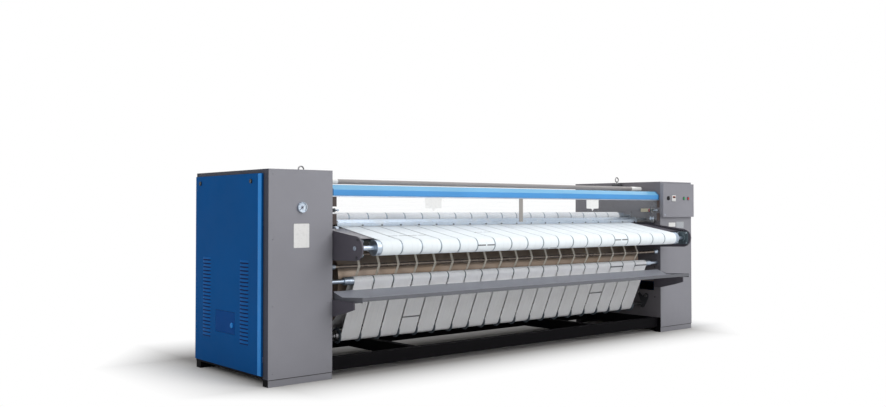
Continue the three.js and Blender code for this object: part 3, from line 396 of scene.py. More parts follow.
def polished_cylinder(name, colour):
    """Ground steel: fine rings round the axis, wax bloom in wide bands and a faint heat tint."""
    g = Graph.named(name)
    place = g.place()
    rings = g.noise(g.scaled(place, (900.0, 3.0, 3.0)), 1.0, 2.0)
    bloom = g.noise(g.scaled(place, (2.2, 0.7, 0.7)), 1.5, 4.0)
    tinted = rgba([colour[0], colour[1] * 0.94, colour[2] * 0.84])
    return g.surface(
        Base_Color=g.blend(g.span(bloom, 0.35, 0.7), rgba(colour), tinted),
        Metallic=1.0,
        Roughness=g.span(rings * 0.5 + bloom * 0.5, 0.3, 0.7, 0.33, 0.39),
        Normal=g.bump(rings, 0.00004),
    )


def woven_belt(name, colour, thread=1.6, dirt=0.12, coated=0.5, lace_half=3, seam=0.0, parting=0):
    """Belt cloth on the belt's own map (metres along and across): a plain weave, warp streaks,
    darker frayed edges and the dark lacing line where the belt's ends meet at zero along. A seam
    above zero shows the joint between the belt's two plies as a faint line along its middle, where a
    parting also breaks the lacing."""
    g = Graph.named(name)
    uv = g.uv()
    axes = g.split(uv)
    along, across = axes["X"], axes["Y"]
    turn = 2 * math.pi / (thread * MM)
    weave = (along * turn).sine() * (across * turn).sine()
    streak = g.noise(g.scaled(uv, (3.0, 260.0, 1.0)), 1.0, 4.0)
    patch = g.span(g.noise(g.place(), 5.5, 5.0, 0.6), 0.42, 0.72)
    half = size("belt_width") / 2
    edge = g.span(abs(across), (half - 4) * MM, half * MM)
    lace = (abs(along) < lace_half * MM) * (abs(across) > parting * MM)
    tone = g.blend(g.span(streak, 0.3, 0.7), rgba(colour, 0.95), rgba(colour, 1.04))
    tone = g.blend(patch * dirt, tone, rgba([0.62 * colour[0], 0.59 * colour[1], 0.52 * colour[2]]))
    tone = g.blend(edge * 0.22, tone, rgba(colour, 0.5))
    tone = g.blend(lace * 0.85, tone, (0.06, 0.06, 0.065, 1.0))
    if seam:
        tone = g.blend((abs(across) < 1.2 * MM) * seam, tone, rgba(colour, 0.45))
    height = g.span(weave, -1.0, 1.0) * (1.0 - coated) + streak * 0.3 - lace * 0.8
    return g.surface(
        Base_Color=tone,
        Roughness=g.span(streak + patch * 0.3, 0.3, 1.0, 0.72, 0.9),
        Specular_IOR_Level=0.25,
        Normal=g.bump(height, 0.0004),
        Sheen_Weight=0.15,
    )


def moulded(name, colour, roughness=0.42):
    """Moulded plastic: a fine spark-eroded grain and slight handling gloss."""
    g = Graph.named(name)
    place = g.place()
    handled = g.noise(place, 38.0, 3.0)
    return g.surface(
        Base_Color=g.blend(handled, rgba(colour, 0.92), rgba(colour, 1.06)),
        Roughness=g.span(handled, 0.3, 0.7, roughness - 0.06, roughness + 0.1),
        Normal=g.bump(g.noise(place, 2600.0, 1.0), 0.00006),
    )


def clear_acrylic(name, colour):
    """Clear sheet: light passes with little loss, fine rub marks show as a haze."""
    g = Graph.named(name)
    rub = g.noise(g.scaled(g.place(), (3.0, 20.0, 160.0)), 1.0, 5.0, 0.7)
    haze = g.span(rub, 0.45, 0.8)
    return g.surface(Base_Color=rgba(colour), Roughness=0.06, IOR=1.49, Alpha=haze * 0.04 + 0.02)


def cast_paint(name, colour):
    """Painted casting: lumpy sand grain under thick enamel, with oily dark patches."""
    g = Graph.named(name)
    place = g.place()
    lumps = g.noise(place, 160.0, 5.0, 0.65)
    oil = g.span(g.noise(place, 22.0, 4.0), 0.5, 0.7)
    return g.surface(
        Base_Color=g.blend(oil * 0.5, rgba(colour), rgba(colour, 0.45)),
        Roughness=g.span(oil, 0.0, 1.0, 0.55, 0.28),
        Normal=g.bump(lumps, 0.0005),
    )


def bare_plate(name, colour):
    """A bare plate: satin film with a little grey dust."""
    g = Graph.named(name)
    soil = g.span(g.noise(g.place(), 60.0, 5.0), 0.5, 0.8)
    return g.surface(
        Base_Color=g.blend(soil * 0.25, rgba(colour), rgba(colour, 0.6)),
        Roughness=g.span(soil, 0.0, 1.0, 0.35, 0.6),
    )


def lit_display(name, colour):
    """Dark display window with a faint glow in rows."""
    g = Graph.named(name)
    band = (g.split(g.place())["Z"] * 420.0).sine() > 0.2
    return g.surface(
        Base_Color=(0.012, 0.014, 0.014, 1.0),
        Roughness=0.12,
        Emission_Color=g.blend(band, (0.0, 0.0, 0.0, 1.0), rgba(colour)),
        Emission_Strength=0.35,
    )


def made(slot, maker, colour, gain=1, **settings):
    """A finish: its usual material slot, its maker, its colour or a property's name, a gain on that
    colour and the maker's other settings."""
    return slot, maker, colour, gain, settings


FINISHES = {
    "column_grey": made("grey_cover", powder_coat, "column_grey"),
    "plate_grey": made("dark_plate", powder_coat, "plate_grey", roughness=0.55, wear=1.0),
    "trim_dark": made("grey_cover", powder_coat, "trim_dark", gloss=0.15),
    "panel_blue": made("blue_panel", powder_coat, "panel_blue", roughness=0.6, wear=0.2, gloss=0.04),
    "hatch_blue": made(
        "blue_panel", powder_coat, (0.0045, 0.066, 0.265), roughness=0.6, wear=0.2, gloss=0.04
    ),
    # the louvre hoods take the panel blue lightened 1.35 times as painted highlight where they face the light
    "louvre_blue": made(
        "blue_panel", powder_coat, "panel_blue", 1.35, roughness=0.55, wear=0.2, gloss=0.06
    ),
    # dark blue strips under the louvre hoods are painted shade
    "louvre_slot": made(
        "blue_panel", powder_coat, (0.007, 0.018, 0.075), roughness=0.6, wear=0.2, gloss=0.04
    ),
    # the panels' bent edge in a brighter blue as painted highlight
    "edge_blue": made("blue_panel", powder_coat, "edge_blue", roughness=0.4, wear=0.2, gloss=0.15),
    "beam_blue": made("light_blue_beam", powder_coat, "beam_blue", roughness=0.34, grain=0.00012, wear=0.3),
    # the guard beam's upward faces, painted paler as highlight
    "beam_pale": made("light_blue_beam", powder_coat, "beam_top", roughness=0.34, wear=0.3),
    # the beam's end caps take its blue darkened to 0.42 as painted shade beside the columns
    "beam_deep": made("light_blue_beam", powder_coat, "beam_blue", 0.42, roughness=0.34, wear=0.3),
    "frame_black": made("black_frame", powder_coat, "frame_black", roughness=0.6, wear=0.3, gloss=0.06),
    "arm_grey": made("dark_arm", powder_coat, "arm_grey", roughness=0.4),
    # the tray's upward faces take its grey doubled as painted highlight
    "tray_top": made("tray_grey", powder_coat, "tray_grey", 2.0, roughness=0.42),
    # the tray's lip, underside and ends take its grey at 0.68 as painted shade
    "tray_lip": made("tray_grey", powder_coat, "tray_grey", 0.68, roughness=0.42),
    "tube_grey": made("grey_tube", powder_coat, (0.3, 0.28, 0.275), roughness=0.35),
    "strip_grey": made("grey_tube", powder_coat, (0.3, 0.285, 0.27), roughness=0.4),
    "strip_brown": made("grey_tube", powder_coat, (0.06, 0.045, 0.042)),
    "bed_tan": made("zinc_steel", powder_coat, (0.62, 0.57, 0.47), roughness=0.45),
    "feed_white": made(
        "feed_belt_cloth", woven_belt, "feed_white", dirt=0.05, coated=0.7, lace_half=4.5, seam=0.2, parting=6
    ),
    "ironing_grey": made(
        "ironing_belt_cloth", woven_belt, "ironing_grey", thread=2.4, dirt=0.16, coated=0.2, lace_half=5.5
    ),
    "tape_beige": made("ironing_belt_cloth", woven_belt, "tape_beige", thread=1.0, dirt=0.25, coated=0.2),
    "zinc": made("zinc_steel", zinc_plate, "zinc"),
    # these two drum finishes darken the drum between the belts as painted shade
    "zinc_drum": made("zinc_steel", zinc_plate, "zinc", rubbed=0.85),
    "feed_drum": made("zinc_steel", zinc_plate, "zinc", roughness=0.4, rubbed=0.4),
    # the tape rods' brown metal colour is a painted reflection of the tan cylinder
    "rod_brown": made("zinc_steel", zinc_plate, (0.2, 0.165, 0.14), roughness=0.28),
    "rod_grey": made("zinc_steel", zinc_plate, (0.22, 0.22, 0.23), roughness=0.35),
    # the cylinder's brownish colour is a painted reflection
    "steel": made("polished_steel", polished_cylinder, "steel"),
    "switch_beige": made("beige_plastic", moulded, "switch_beige", roughness=0.5),
    "black_plastic": made("black_plastic", moulded, (0.012, 0.012, 0.014)),
    "red_plastic": made("red_plastic", moulded, (0.52, 0.012, 0.02), roughness=0.3),
    "green_plastic": made("green_plastic", moulded, (0.01, 0.34, 0.1), roughness=0.3),
    "white_plastic": made("black_plastic", moulded, (0.78, 0.78, 0.76), roughness=0.35),
    "disc_slate": made("black_plastic", moulded, (0.1, 0.125, 0.15), roughness=0.4),
    "bearing_slate": made("dark_arm", cast_paint, (0.06, 0.085, 0.1)),
    "dark_casting": made("cast_housing", cast_paint, (0.035, 0.036, 0.042)),
    "drive_casting": made("cast_housing", cast_paint, (0.06, 0.1, 0.16)),
    "clear_sheet": made("clear_sheet", clear_acrylic, (0.75, 0.86, 0.92)),
    "blank_white": made("gauge_white", bare_plate, (0.8, 0.8, 0.79)),
    "blank_grey": made("gauge_white", bare_plate, (0.42, 0.44, 0.47)),
    "dial_grey": made("gauge_white", bare_plate, (0.33, 0.37, 0.46)),
    "display": made("black_plastic", lit_display, (0.9, 0.16, 0.1)),
}


def finish_of(name):
    """The material of a finish, made at its first use."""
    title = "ironer_" + name
    if title in bpy.data.materials:
        return bpy.data.materials[title]
    _, maker, colour, gain, settings = FINISHES[name]
    if isinstance(colour, str):
        colour = getattr(bpy.context.scene.ironer_colours, colour)
    return maker(title, [gain * c for c in colour], **settings)


# ---- surfaces, in millimetres
def grid_faces(rows, columns, closed_rows=False, closed_columns=False):
    """Quads of a grid of points, row by row; a closed direction joins its last line to its first."""
    last_row = rows if closed_rows else rows - 1
    last_column = columns if closed_columns else columns - 1
    i, j = np.meshgrid(np.arange(last_row), np.arange(last_column), indexing="ij")
    i2, j2 = (i + 1) % rows, (j + 1) % columns
    quads = np.stack([i * columns + j, i * columns + j2, i2 * columns + j2, i2 * columns + j], axis=-1)
    return quads.reshape(-1, 4).tolist()


def skinned(rings):
    """A solid through closed rings of points, with a face over the first ring and one over the last."""
    rows, n = len(rings), len(rings[0])
    faces = grid_faces(rows, n, closed_columns=True)
    faces += [list(range(n)), list(range(rows * n - 1, (rows - 1) * n - 1, -1))]
    return np.concatenate(rings), faces


FLAT_CORNER = 86.0  # degrees: half the angle at a corner that is too flat to round


def rounded(points, radius, steps=4):
    """A closed outline with each corner replaced by an arc. The arc starts radius * tan(turn / 2) before
    the corner, or nearer where a side is short, and its points lie at one distance from its centre."""
    p = np.array(points, float)
    out = []
    for k in range(len(p)):
        before = p[k - 1] - p[k]
        after = p[(k + 1) % len(p)] - p[k]
        la, lb = np.linalg.norm(before), np.linalg.norm(after)
        a, b = before / la, after / lb
        half = math.acos(np.clip(a @ b, -1, 1)) / 2
        if math.degrees(half) > FLAT_CORNER:
            out.append(p[k][None])
            continue
        reach = min(radius / math.tan(half), 0.45 * la, 0.45 * lb)
        bisector = (a + b) / np.linalg.norm(a + b)
        centre = p[k] + bisector * (reach / math.cos(half))
        first, last = p[k] + a * reach - centre, p[k] + b * reach - centre
        t = np.linspace(0, 1, steps + 1)[:, None]
        arc = first * (1 - t) + last * t
        arc *= np.linalg.norm(first) / np.linalg.norm(arc, axis=1, keepdims=True)
        out.append(centre + arc)
    return np.concatenate(out)


def folded(points, thickness, radius):
    """The outline of a folded sheet: a polyline and its copy one thickness to the left, whose corners
    lie thickness / cos(turn / 2) away on the line that halves each bend, with round bends."""
    p = np.array(points, float)
    step = np.diff(p, axis=0)
    step /= np.linalg.norm(step, axis=1, keepdims=True)
    normal = np.stack([-step[:, 1], step[:, 0]], axis=1)
    total = np.concatenate([normal[:1], normal]) + np.concatenate([normal, normal[-1:]])
    inner = p + total * (2 * thickness / (total**2).sum(axis=1, keepdims=True))
    return rounded(np.concatenate([p, inner[::-1]]), radius + thickness / 2)


def rectangle(a, b):
    """The corners of a rectangle over two ranges."""
    (a0, a1), (b0, b1) = sorted(a), sorted(b)
    return [(a0, b0), (a1, b0), (a1, b1), (a0, b1)]


def stepped(origin, steps, sign=1):
    """A profile with its places measured from an origin, the other way where the sign is -1."""
    return [(origin + sign * place, radius) for place, radius in steps]


def mirrored(half):
    """A profile and its mirror image at x = 0."""
    return half + [(-x, r) for x, r in reversed(half)]


def on_circle(centre, radius, turn):
    """The place at a turn round a circle: centre + radius * (cos turn, sin turn)."""
    return centre[0] + radius * math.cos(turn), centre[1] + radius * math.sin(turn)


ORDER = {"x": (2, 0, 1), "y": (0, 2, 1), "z": (0, 1, 2)}


def swept(outline, ends, along="x"):
    """A flat outline, with the other two axes in X, Y, Z order, carried straight along an axis."""
    p = np.array(outline, float)
    return skinned([np.column_stack([p, np.full(len(p), end)])[:, ORDER[along]] for end in sorted(ends)])


def block(x, y, z):
    """A block over three ranges, for a bevel to round."""
    return swept(rectangle(y, z), x)


def turned(profile, centre, along="x", segments=64):
    """A profile of (place along the axis, radius) turned about an axis through centre, the two
    coordinates across the axis in X, Y, Z order: across it, a point lies at centre + radius *
    (cos t, sin t). A radius of zero closes the end at a pole."""
    p = np.array(profile, float)
    t = np.linspace(0, 2 * math.pi, segments, endpoint=False)
    across = p[:, 1:2] * np.stack([np.cos(t), np.sin(t)])[:, None, :]
    place = np.broadcast_to(p[:, :1], (len(p), segments))
    verts = np.stack([centre[0] + across[0], centre[1] + across[1], place], axis=-1).reshape(-1, 3)
    closed = not (p[0, 1] == 0 and p[-1, 1] == 0)
    return verts[:, ORDER[along]], grid_faces(len(p), segments, closed_rows=closed, closed_columns=True)


def rod(ends, centre, radius, chamfer=0.5, segments=32):
    """A round bar along X: its radius, less the chamfer at both ends, turned about the axis."""
    x0, x1 = sorted(ends)
    profile = [(x0, 0), (x0, radius - chamfer), (x0 + chamfer, radius), (x1 - chamfer, radius)]
    profile += [(x1, radius - chamfer), (x1, 0)]
    return turned(profile, centre, "x", segments)


def tube(points, radius, segments):
    """A round tube along a path: at each point a ring of radius * (cos t * side + sin t * forward x
    side), its side carried along from ring to ring so that it doesn't twist."""
    p = np.array(points, float)
    tangent = np.gradient(p, axis=0)
    tangent /= np.linalg.norm(tangent, axis=1, keepdims=True)
    side = np.cross(tangent[0], [0.3, 0.5, 0.8])  # any direction that isn't the path's own
    t = np.linspace(0, 2 * math.pi, segments, endpoint=False)[:, None]
    rings = []
    for point, forward in zip(p, tangent):
        side = side - forward * (side @ forward)
        side /= np.linalg.norm(side)
        rings.append(point + radius * (np.cos(t) * side + np.sin(t) * np.cross(forward, side)))
    return skinned(rings)


def pan_head(x, y, z, radius):
    """A domed screw head on a front face, with its cross recess left as a shallow dish."""
    dome = ((0, 0), (0, 1), (-0.2, 1), (-0.42, 0.8), (-0.5, 0.45), (-0.3, 0.3), (-0.3, 0))
    return turned([(y + radius * a, radius * b) for a, b in dome], (x, z), "y", 16)


def joined(shapes):
    """Several shapes as one list of points and faces."""
    verts, faces, base = [], [], 0
    for v, f in shapes:
        verts.append(v)
        faces += [[i + base for i in face] for face in f]
        base += len(v)
    return np.concatenate(verts), faces


# ---- pieces
SHARP = 35.0  # degrees between faces that meet in a crease
BEVEL_NEW, BEVEL_CAD = 40.0, 50.0  # degrees between faces whose edge is rounded
WELD_NEW, WELD_CAD = 1e-6, 1e-5  # metres between points that are merged


def put(name, data):
    """A new object in the scene."""
    item = bpy.data.objects.new(name, data)
    bpy.context.scene.collection.objects.link(item)
    return item


def finished(mesh, work, finish, body, slot, replaces, bevel, bevel_angle):
    """Ends a piece: faces outwards, smooth but for its creases, with its finish and rounded edges."""
    bmesh.ops.recalc_face_normals(work, faces=work.faces)
    work.to_mesh(mesh)
    work.free()
    mesh.polygons.foreach_set("use_smooth", np.ones(len(mesh.polygons), dtype=bool))
    mesh.set_sharp_from_angle(angle=math.radians(SHARP))
    mesh.materials.append(finish_of(finish))
    piece = put(mesh.name, mesh)
    if bevel:
        edge = piece.modifiers.new("Edges", "BEVEL")
        edge.width = bevel * MM
        edge.segments = 2
        edge.limit_method = "ANGLE"
        edge.harden_normals = True
        edge.angle_limit = math.radians(bevel_angle)
    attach(piece, body)
    slot or FINISHES[finish][0]
    if replaces:
        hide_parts(replaces)
    return piece


def add_piece(name, shape, finish, body="frame", replaces=None, bevel=0, slot=None, uv=None):
    """Puts a shape, or a list of shapes, into the scene as a piece."""
    verts, faces = joined(shape) if isinstance(shape, list) else shape
    mesh = bpy.data.meshes.new(name)
    mesh.from_pydata((verts * MM).tolist(), [], faces)
    if uv is not None:
        mesh.uv_layers.new(name="UVMap").data.foreach_set("uv", uv.astype(np.float32).ravel())
    work = bmesh.new()
    work.from_mesh(mesh)
    bmesh.ops.remove_doubles(work, verts=work.verts, dist=WELD_NEW)
    return finished(mesh, work, finish, body, slot, replaces, bevel, BEVEL_NEW)


def refined(name, node, finish, bevel, slot=None):
    """A piece with a CAD node's shape: its triangles joined into flat faces, with rounded edges."""
    source = frame["nodes"][node]
    mesh = source.data.copy()
    mesh.name = name
    mesh.materials.clear()
    work = bmesh.new()
    work.from_mesh(mesh)
    bmesh.ops.remove_doubles(work, verts=work.verts, dist=WELD_CAD)
    bmesh.ops.dissolve_limit(work, angle_limit=math.radians(0.8), verts=work.verts, edges=work.edges)
    return finished(mesh, work, finish, source["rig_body"], slot, node, bevel, BEVEL_CAD)


def two_tone(piece, finish, chosen):
    """Gives some faces of a piece a second finish: chosen picks them from the faces' centres and normals."""
    mesh = piece.data
    rows = []
    for what in ("center", "normal"):
        values = np.empty(len(mesh.polygons) * 3, dtype=np.float32)
        mesh.polygons.foreach_get(what, values)
        rows.append(values.reshape(-1, 3))
    picked = chosen(rows[0] / MM, rows[1])
    mesh.materials.append(finish_of(finish))
    mesh.polygons.foreach_set("material_index", picked.astype(np.int32))


# ---- belts
BELT_LIFT = 0.6  # a belt above its roller
CYLINDER_LIFT = 1.4  # an ironing belt above the cylinder, where the tapes run under it
STRAIGHT = 60  # between two points where a belt runs straight
ROLLERS = {
    name: (*axis_of(name), radius)
    for name, radius in {
        "upper_front_roller": 34,
        "exit_roller": 27,
        "lower_front_roller": 34,
        "lower_rear_roller": 34,
        "upper_rear_roller": 34,
        "feed_front_roller": 46,
        "feed_rear_roller": 40,
    }.items()
}


def belt_path(circles, step):
    """The middle line of a belt round circles of (y, z, radius, side); side is 1 where the belt turns
    anticlockwise seen from the left end, and -1 where it turns clockwise. Between two circles it follows
    their common tangent: with n the unit normal from which both radii are measured,
    (c2 - c1) . n = side1 * r1 - side2 * r2. Returns points (y, z), unit normals and arc lengths."""
    c = np.array(circles, float)
    centre, reach = c[:, :2], c[:, 2] * c[:, 3]
    ahead = np.roll(centre, -1, axis=0) - centre
    span = np.linalg.norm(ahead, axis=1)
    angle = np.arctan2(ahead[:, 1], ahead[:, 0]) - np.arccos((reach - np.roll(reach, -1)) / span)
    points, normals = [], []
    for k in range(len(c)):
        side = c[k, 3]
        turn = (angle[k] - angle[k - 1]) * side % (2 * math.pi)
        count = max(2, int(math.ceil(turn * c[k, 2] / step)) + 1)
        t = angle[k - 1] + side * np.linspace(0, turn, count)
        n = np.stack([np.cos(t), np.sin(t)], axis=1)
        points.append(centre[k] + reach[k] * n)
        normals.append(n)
        after = centre[(k + 1) % len(c)] + np.roll(reach, -1)[k] * n[-1]
        between = int(np.linalg.norm(after - points[-1][-1]) / STRAIGHT)
        s = np.linspace(0, 1, between + 2)[1:-1, None]
        points.append(points[-1][-1] * (1 - s) + after * s)
        normals.append(np.repeat(n[-1:], between, axis=0))
    p, n = np.concatenate(points), np.concatenate(normals)
    arc = np.concatenate([[0], np.cumsum(np.linalg.norm(np.diff(np.vstack([p, p[:1]]), axis=0), axis=1))])
    return p, n, arc


def on_roller(name, thickness):
    """The circle that the middle of a belt follows round a roller."""
    y, z, radius = ROLLERS[name]
    return y, z, radius + BELT_LIFT + thickness / 2, 1


def belts(centres, laces, path, width, thickness):
    """Belts side by side on one path: a flat section with round edges, carried along the path at each of
    the centres. Their map holds metres along from the belt's lacing, and metres across from its middle."""
    p, normal, arc = path
    total = arc[-1]
    w, t = width / 2, thickness / 2
    section = np.array([(-w + t, t), (0, t), (w - t, t), (w, 0), (w - t, -t), (0, -t), (-w + t, -t), (-w, 0)])
    rows, columns = len(p), len(section)
    sheet = [np.broadcast_to(section[:, 0], (rows, columns))]
    sheet += [p[:, i : i + 1] + normal[:, i : i + 1] * section[:, 1] for i in (0, 1)]
    one = np.stack(sheet, axis=-1).reshape(-1, 3)
    verts = (one[None] + np.array([[c, 0, 0] for c in centres])[:, None]).reshape(-1, 3)
    quads = np.array(grid_faces(rows, columns, closed_rows=True, closed_columns=True))
    row, column = quads // columns, quads % columns
    length = arc[row] + np.where((row == 0) & (row.max(axis=1, keepdims=True) == rows - 1), total, 0)
    across = section[column, 0]
    faces, maps = [], []
    for k, lace in enumerate(laces):
        along = length - lace
        along = along - total * np.round(along.mean(axis=1, keepdims=True) / total)
        faces.append(quads + k * rows * columns)
        maps.append(np.stack([along, across], axis=-1).reshape(-1, 2))
    return (verts, np.concatenate(faces).tolist()), np.concatenate(maps) * MM


def add_belts(name, finish, path, kind, centres, hidden, seen, replaces=None):
    """Puts a set of belts or tapes into the scene. Their lacing lies at the hidden place, apart from the
    numbered belts whose lacing is seen."""
    p, _, arc = path
    laces = []
    for k in range(len(centres)):
        place = np.array(at(*seen.get(k, hidden)))
        laces.append(arc[np.argmin(((p - place) ** 2).sum(axis=1))])
    shape, uv = belts(centres, laces, path, size(kind + "_width"), size(kind + "_thickness"))
    add_piece(name, shape, finish, replaces=replaces, uv=uv)


class IRONER_OT_belts(bpy.types.Operator):
    """Two sets of belts: the feed conveyor's and the ironing belts round the cylinder"""

    bl_idname = "ironer.belts"
    bl_label = "Belts"

    def execute(self, context):
        thickness, centres = size("belt_thickness"), belt_centres()
        circles = [on_roller(name, thickness) for name in ("feed_front_roller", "feed_rear_roller")]
        path = belt_path(circles, 6)
        seen = {1: (-121, 891), 2: (-125, 890), 6: (-63, 901), 5: (-288, 817), 9: (-266, 780)}
        seen[14] = (-287, 825)
        add_belts("feed_belt_set", "feed_white", path, "belt", centres, (-60, 820), seen, "feed_belts")
        after = ("exit_roller", "lower_front_roller", "lower_rear_roller", "upper_rear_roller")
        circles = [on_roller("upper_front_roller", thickness)]
        circles.append((*CYLINDER, size("cylinder_radius") + CYLINDER_LIFT + thickness / 2, -1))
        circles += [on_roller(name, thickness) for name in after]
        path = belt_path(circles, 8)
        seen = {2: (43, 626), 3: (123, 341), 15: (109, 374), 16: (17, 585), 18: (25, 562)}
        node = "ironing_belts"
        add_belts("ironing_belt_set", "ironing_grey", path, "belt", centres, (620, 860), seen, node)
        return {"FINISHED"}


class IRONER_OT_tapes(bpy.types.Operator):
    """Guide tapes that lead the linen off the cylinder, and the rods they turn over"""

    bl_idname = "ironer.tapes"
    bl_label = "Guide tapes"

    def execute(self, context):
        lift = 0.2 + size("tape_thickness") / 2
        lower, upper = at(42, 694), at(66, 766)
        radii = ((CYLINDER, size("cylinder_radius")), (lower, 12.5), (upper, 8))
        path = belt_path([(*centre, radius + lift, -1) for centre, radius in radii], 8)
        centres = belt_centres() - size("tape_offset")
        add_belts("guide_tapes", "tape_beige", path, "tape", centres, (834, 600), {})
        reach = PLATE_X - 0.4
        cone = stepped(-reach, ((0, 0), (0, 21), (1, 22), (13, 22), (15, 20.5), (42, 15.5), (43, 12.5)))
        # the tape rods are coloured brown as a painted reflection of the cylinder
        bar = turned(mirrored(cone), lower, "x", 48)
        bar = add_piece("lower_tape_rod", bar, "rod_brown", replaces="tape_rod_lower")
        two_tone(bar, "zinc", lambda c, n: abs(c[:, 0]) > reach - 45)
        add_piece("upper_tape_rod", rod((4 - reach, reach - 4), upper, 8), "rod_brown")
        return {"FINISHED"}


# ---- rollers, cylinder and drive
def drum(x_end, x_drum, shaft, radius, collars):
    """Profile of a roller: its shaft, collars as (x, radius) steps, and its drum."""
    half = stepped(-x_end, ((0, 0), (0, shaft - 1), (1, shaft)))
    for x, r in collars:
        half += stepped(-x, ((0, shaft), (0, r - 1), (1, r)))
        shaft = r
    return mirrored(half + stepped(-x_drum, ((0, shaft), (0, radius - 1.5), (1.5, radius))))


class IRONER_OT_rollers(bpy.types.Operator):
    """Belt rollers with their hubs, collars and guide discs, each on its own body"""

    bl_idname = "ironer.rollers"
    bl_label = "Rollers"

    def execute(self, context):
        wide = belts_end() + 30
        end = box_of("exit_roller")[1][0]
        for name, shaft, collars, finish in (
            ("upper_front_roller", 15, [(wide + 54, 30)], "feed_drum"),
            ("exit_roller", 15, [(wide + 38, 25.5)], "zinc_drum"),
            # the lower front roller takes a dark grey instead of zinc as painted shade under the tray
            ("lower_front_roller", 15, [(wide + 12, 24)], "rod_grey"),
            ("lower_rear_roller", 15, [], "zinc_drum"),
            ("upper_rear_roller", 15, [], "zinc_drum"),
            ("feed_rear_roller", 14, [], "zinc_drum"),
        ):
            y, z, radius = ROLLERS[name]
            shape = turned(drum(end, wide, shaft, radius, collars), (y, z), "x", 56)
            add_piece(name + "_drum", shape, finish, name, name)
        name = "feed_front_roller"
        y, z, radius = ROLLERS[name]
        half = stepped(-box_of(name)[1][0], ((0, 0), (0, 13), (1, 14)))
        flange = ((-8, -32), (-8, 3), (-7, 4), (-1, 4), (0, 3), (0, 0))
        half += [(x - wide, radius + r) for x, r in flange]
        add_piece(name + "_drum", turned(mirrored(half), (y, z), "x", 64), "feed_drum", name, name)
        y, z, radius = ROLLERS["lower_front_roller"]
        pitch = size("belt_pitch")
        places = np.append(belt_centres(), belt_centres()[-1] + pitch) - pitch / 2
        ring = ((-3, 33), (-3, 49), (-2, 51.5), (-1, 52), (1, 52), (2, 51.5), (3, 49), (3, 33))
        discs = [turned(stepped(x, ring), (y, z), "x", 40) for x in places]
        add_piece("belt_guide_discs", discs, "disc_slate", "lower_front_roller")
        return {"FINISHED"}


LARGE_WHEEL, SMALL_WHEEL = 112, 42  # tip radii of the sprockets
CHAIN_PITCH = 15.9
CHAIN_LIFT = 6.4  # the chain's middle above the tips


class IRONER_OT_cylinder(bpy.types.Operator):
    """Heated cylinder with its heads, journals and sprocket"""

    bl_idname = "ironer.cylinder"
    bl_label = "Heated cylinder"

    def execute(self, context):
        radius = size("cylinder_radius")
        half, journal = 1552, 55
        left = stepped(box_of("heated_cylinder")[0][0], ((0, 0), (0, journal - 2), (2, journal)))
        head = ((-14, journal), (-14, radius - 30), (0, radius - 12), (0, radius - 2), (2, radius))
        left += stepped(-half, head)
        shape = turned(mirrored(left), CYLINDER, "x", 160)
        add_piece("ironing_cylinder", shape, "steel", "cylinder", "heated_cylinder")
        wheel = sprocket(CYLINDER, LARGE_WHEEL, inner=54, x=1751, teeth=44)
        add_piece("cylinder_sprocket", wheel, "dark_casting", "cylinder", slot="polished_steel")
        bolt = ((0, 0), (0, 7), (4.2, 7), (5, 5.8), (5, 0))
        places = [on_circle(CYLINDER, 200, k * math.pi / 6) for k in range(12)]
        bolts = [
            turned(stepped(sign * (half + 13.5), bolt, sign), place, "x", 6)
            for sign in (-1, 1)
            for place in places
        ]
        add_piece("cylinder_head_bolts", bolts, "zinc", "cylinder")
        return {"FINISHED"}


def sprocket(centre, outer, inner, x, teeth):
    """A toothed wheel 10 mm thick, between an inner ring and a rim of
    radius = outer - depth * (1 - cos(teeth * t)) / 2."""
    t = np.linspace(0, 2 * math.pi, teeth * 6, endpoint=False)
    depth = 5
    rim = outer - depth * (0.5 - 0.5 * np.cos(teeth * t))
    hole = np.full_like(t, inner)
    rings = []
    for place, r in ((0, hole), (0, rim - 1), (1, rim), (9, rim), (10, rim - 1), (10, hole)):
        ring = [np.full_like(t, x + place), centre[0] + r * np.cos(t), centre[1] + r * np.sin(t)]
        rings.append(np.stack(ring, axis=1))
    return np.concatenate(rings), grid_faces(6, len(t), closed_rows=True, closed_columns=True)


def chain(path, x):
    """Chain links on a path: at equal steps along it an outer pair of side plates, each a flat six-sided
    outline, and a roller between them."""
    p, _, arc = path
    closed = np.vstack([p, p[:1]])
    count = int(arc[-1] / CHAIN_PITCH) // 2 * 2
    s = np.linspace(0, arc[-1], count, endpoint=False)
    pins = np.stack([np.interp(s, arc, closed[:, 0]), np.interp(s, arc, closed[:, 1])], axis=1)
    shapes = []
    for k, (a, b) in enumerate(zip(pins, np.roll(pins, -1, axis=0))):
        d = (b - a) / np.linalg.norm(b - a)
        m = np.array([-d[1], d[0]])
        mid = (a + b) / 2
        outline = [a - 3 * d - 3.5 * m, a - 3 * d + 3.5 * m, mid + 3.75 * m]
        outline += [b + 3 * d + 3.5 * m, b + 3 * d - 3.5 * m, mid - 3.75 * m]
        out = 5.5 if k % 2 else 7.2
        shapes += [swept(outline, about(x + e * out, 0.7)) for e in (-1, 1)]
        shapes.append(rod(about(x, 7.9), a, 3.2, 0.3, 8))
    return joined(shapes)


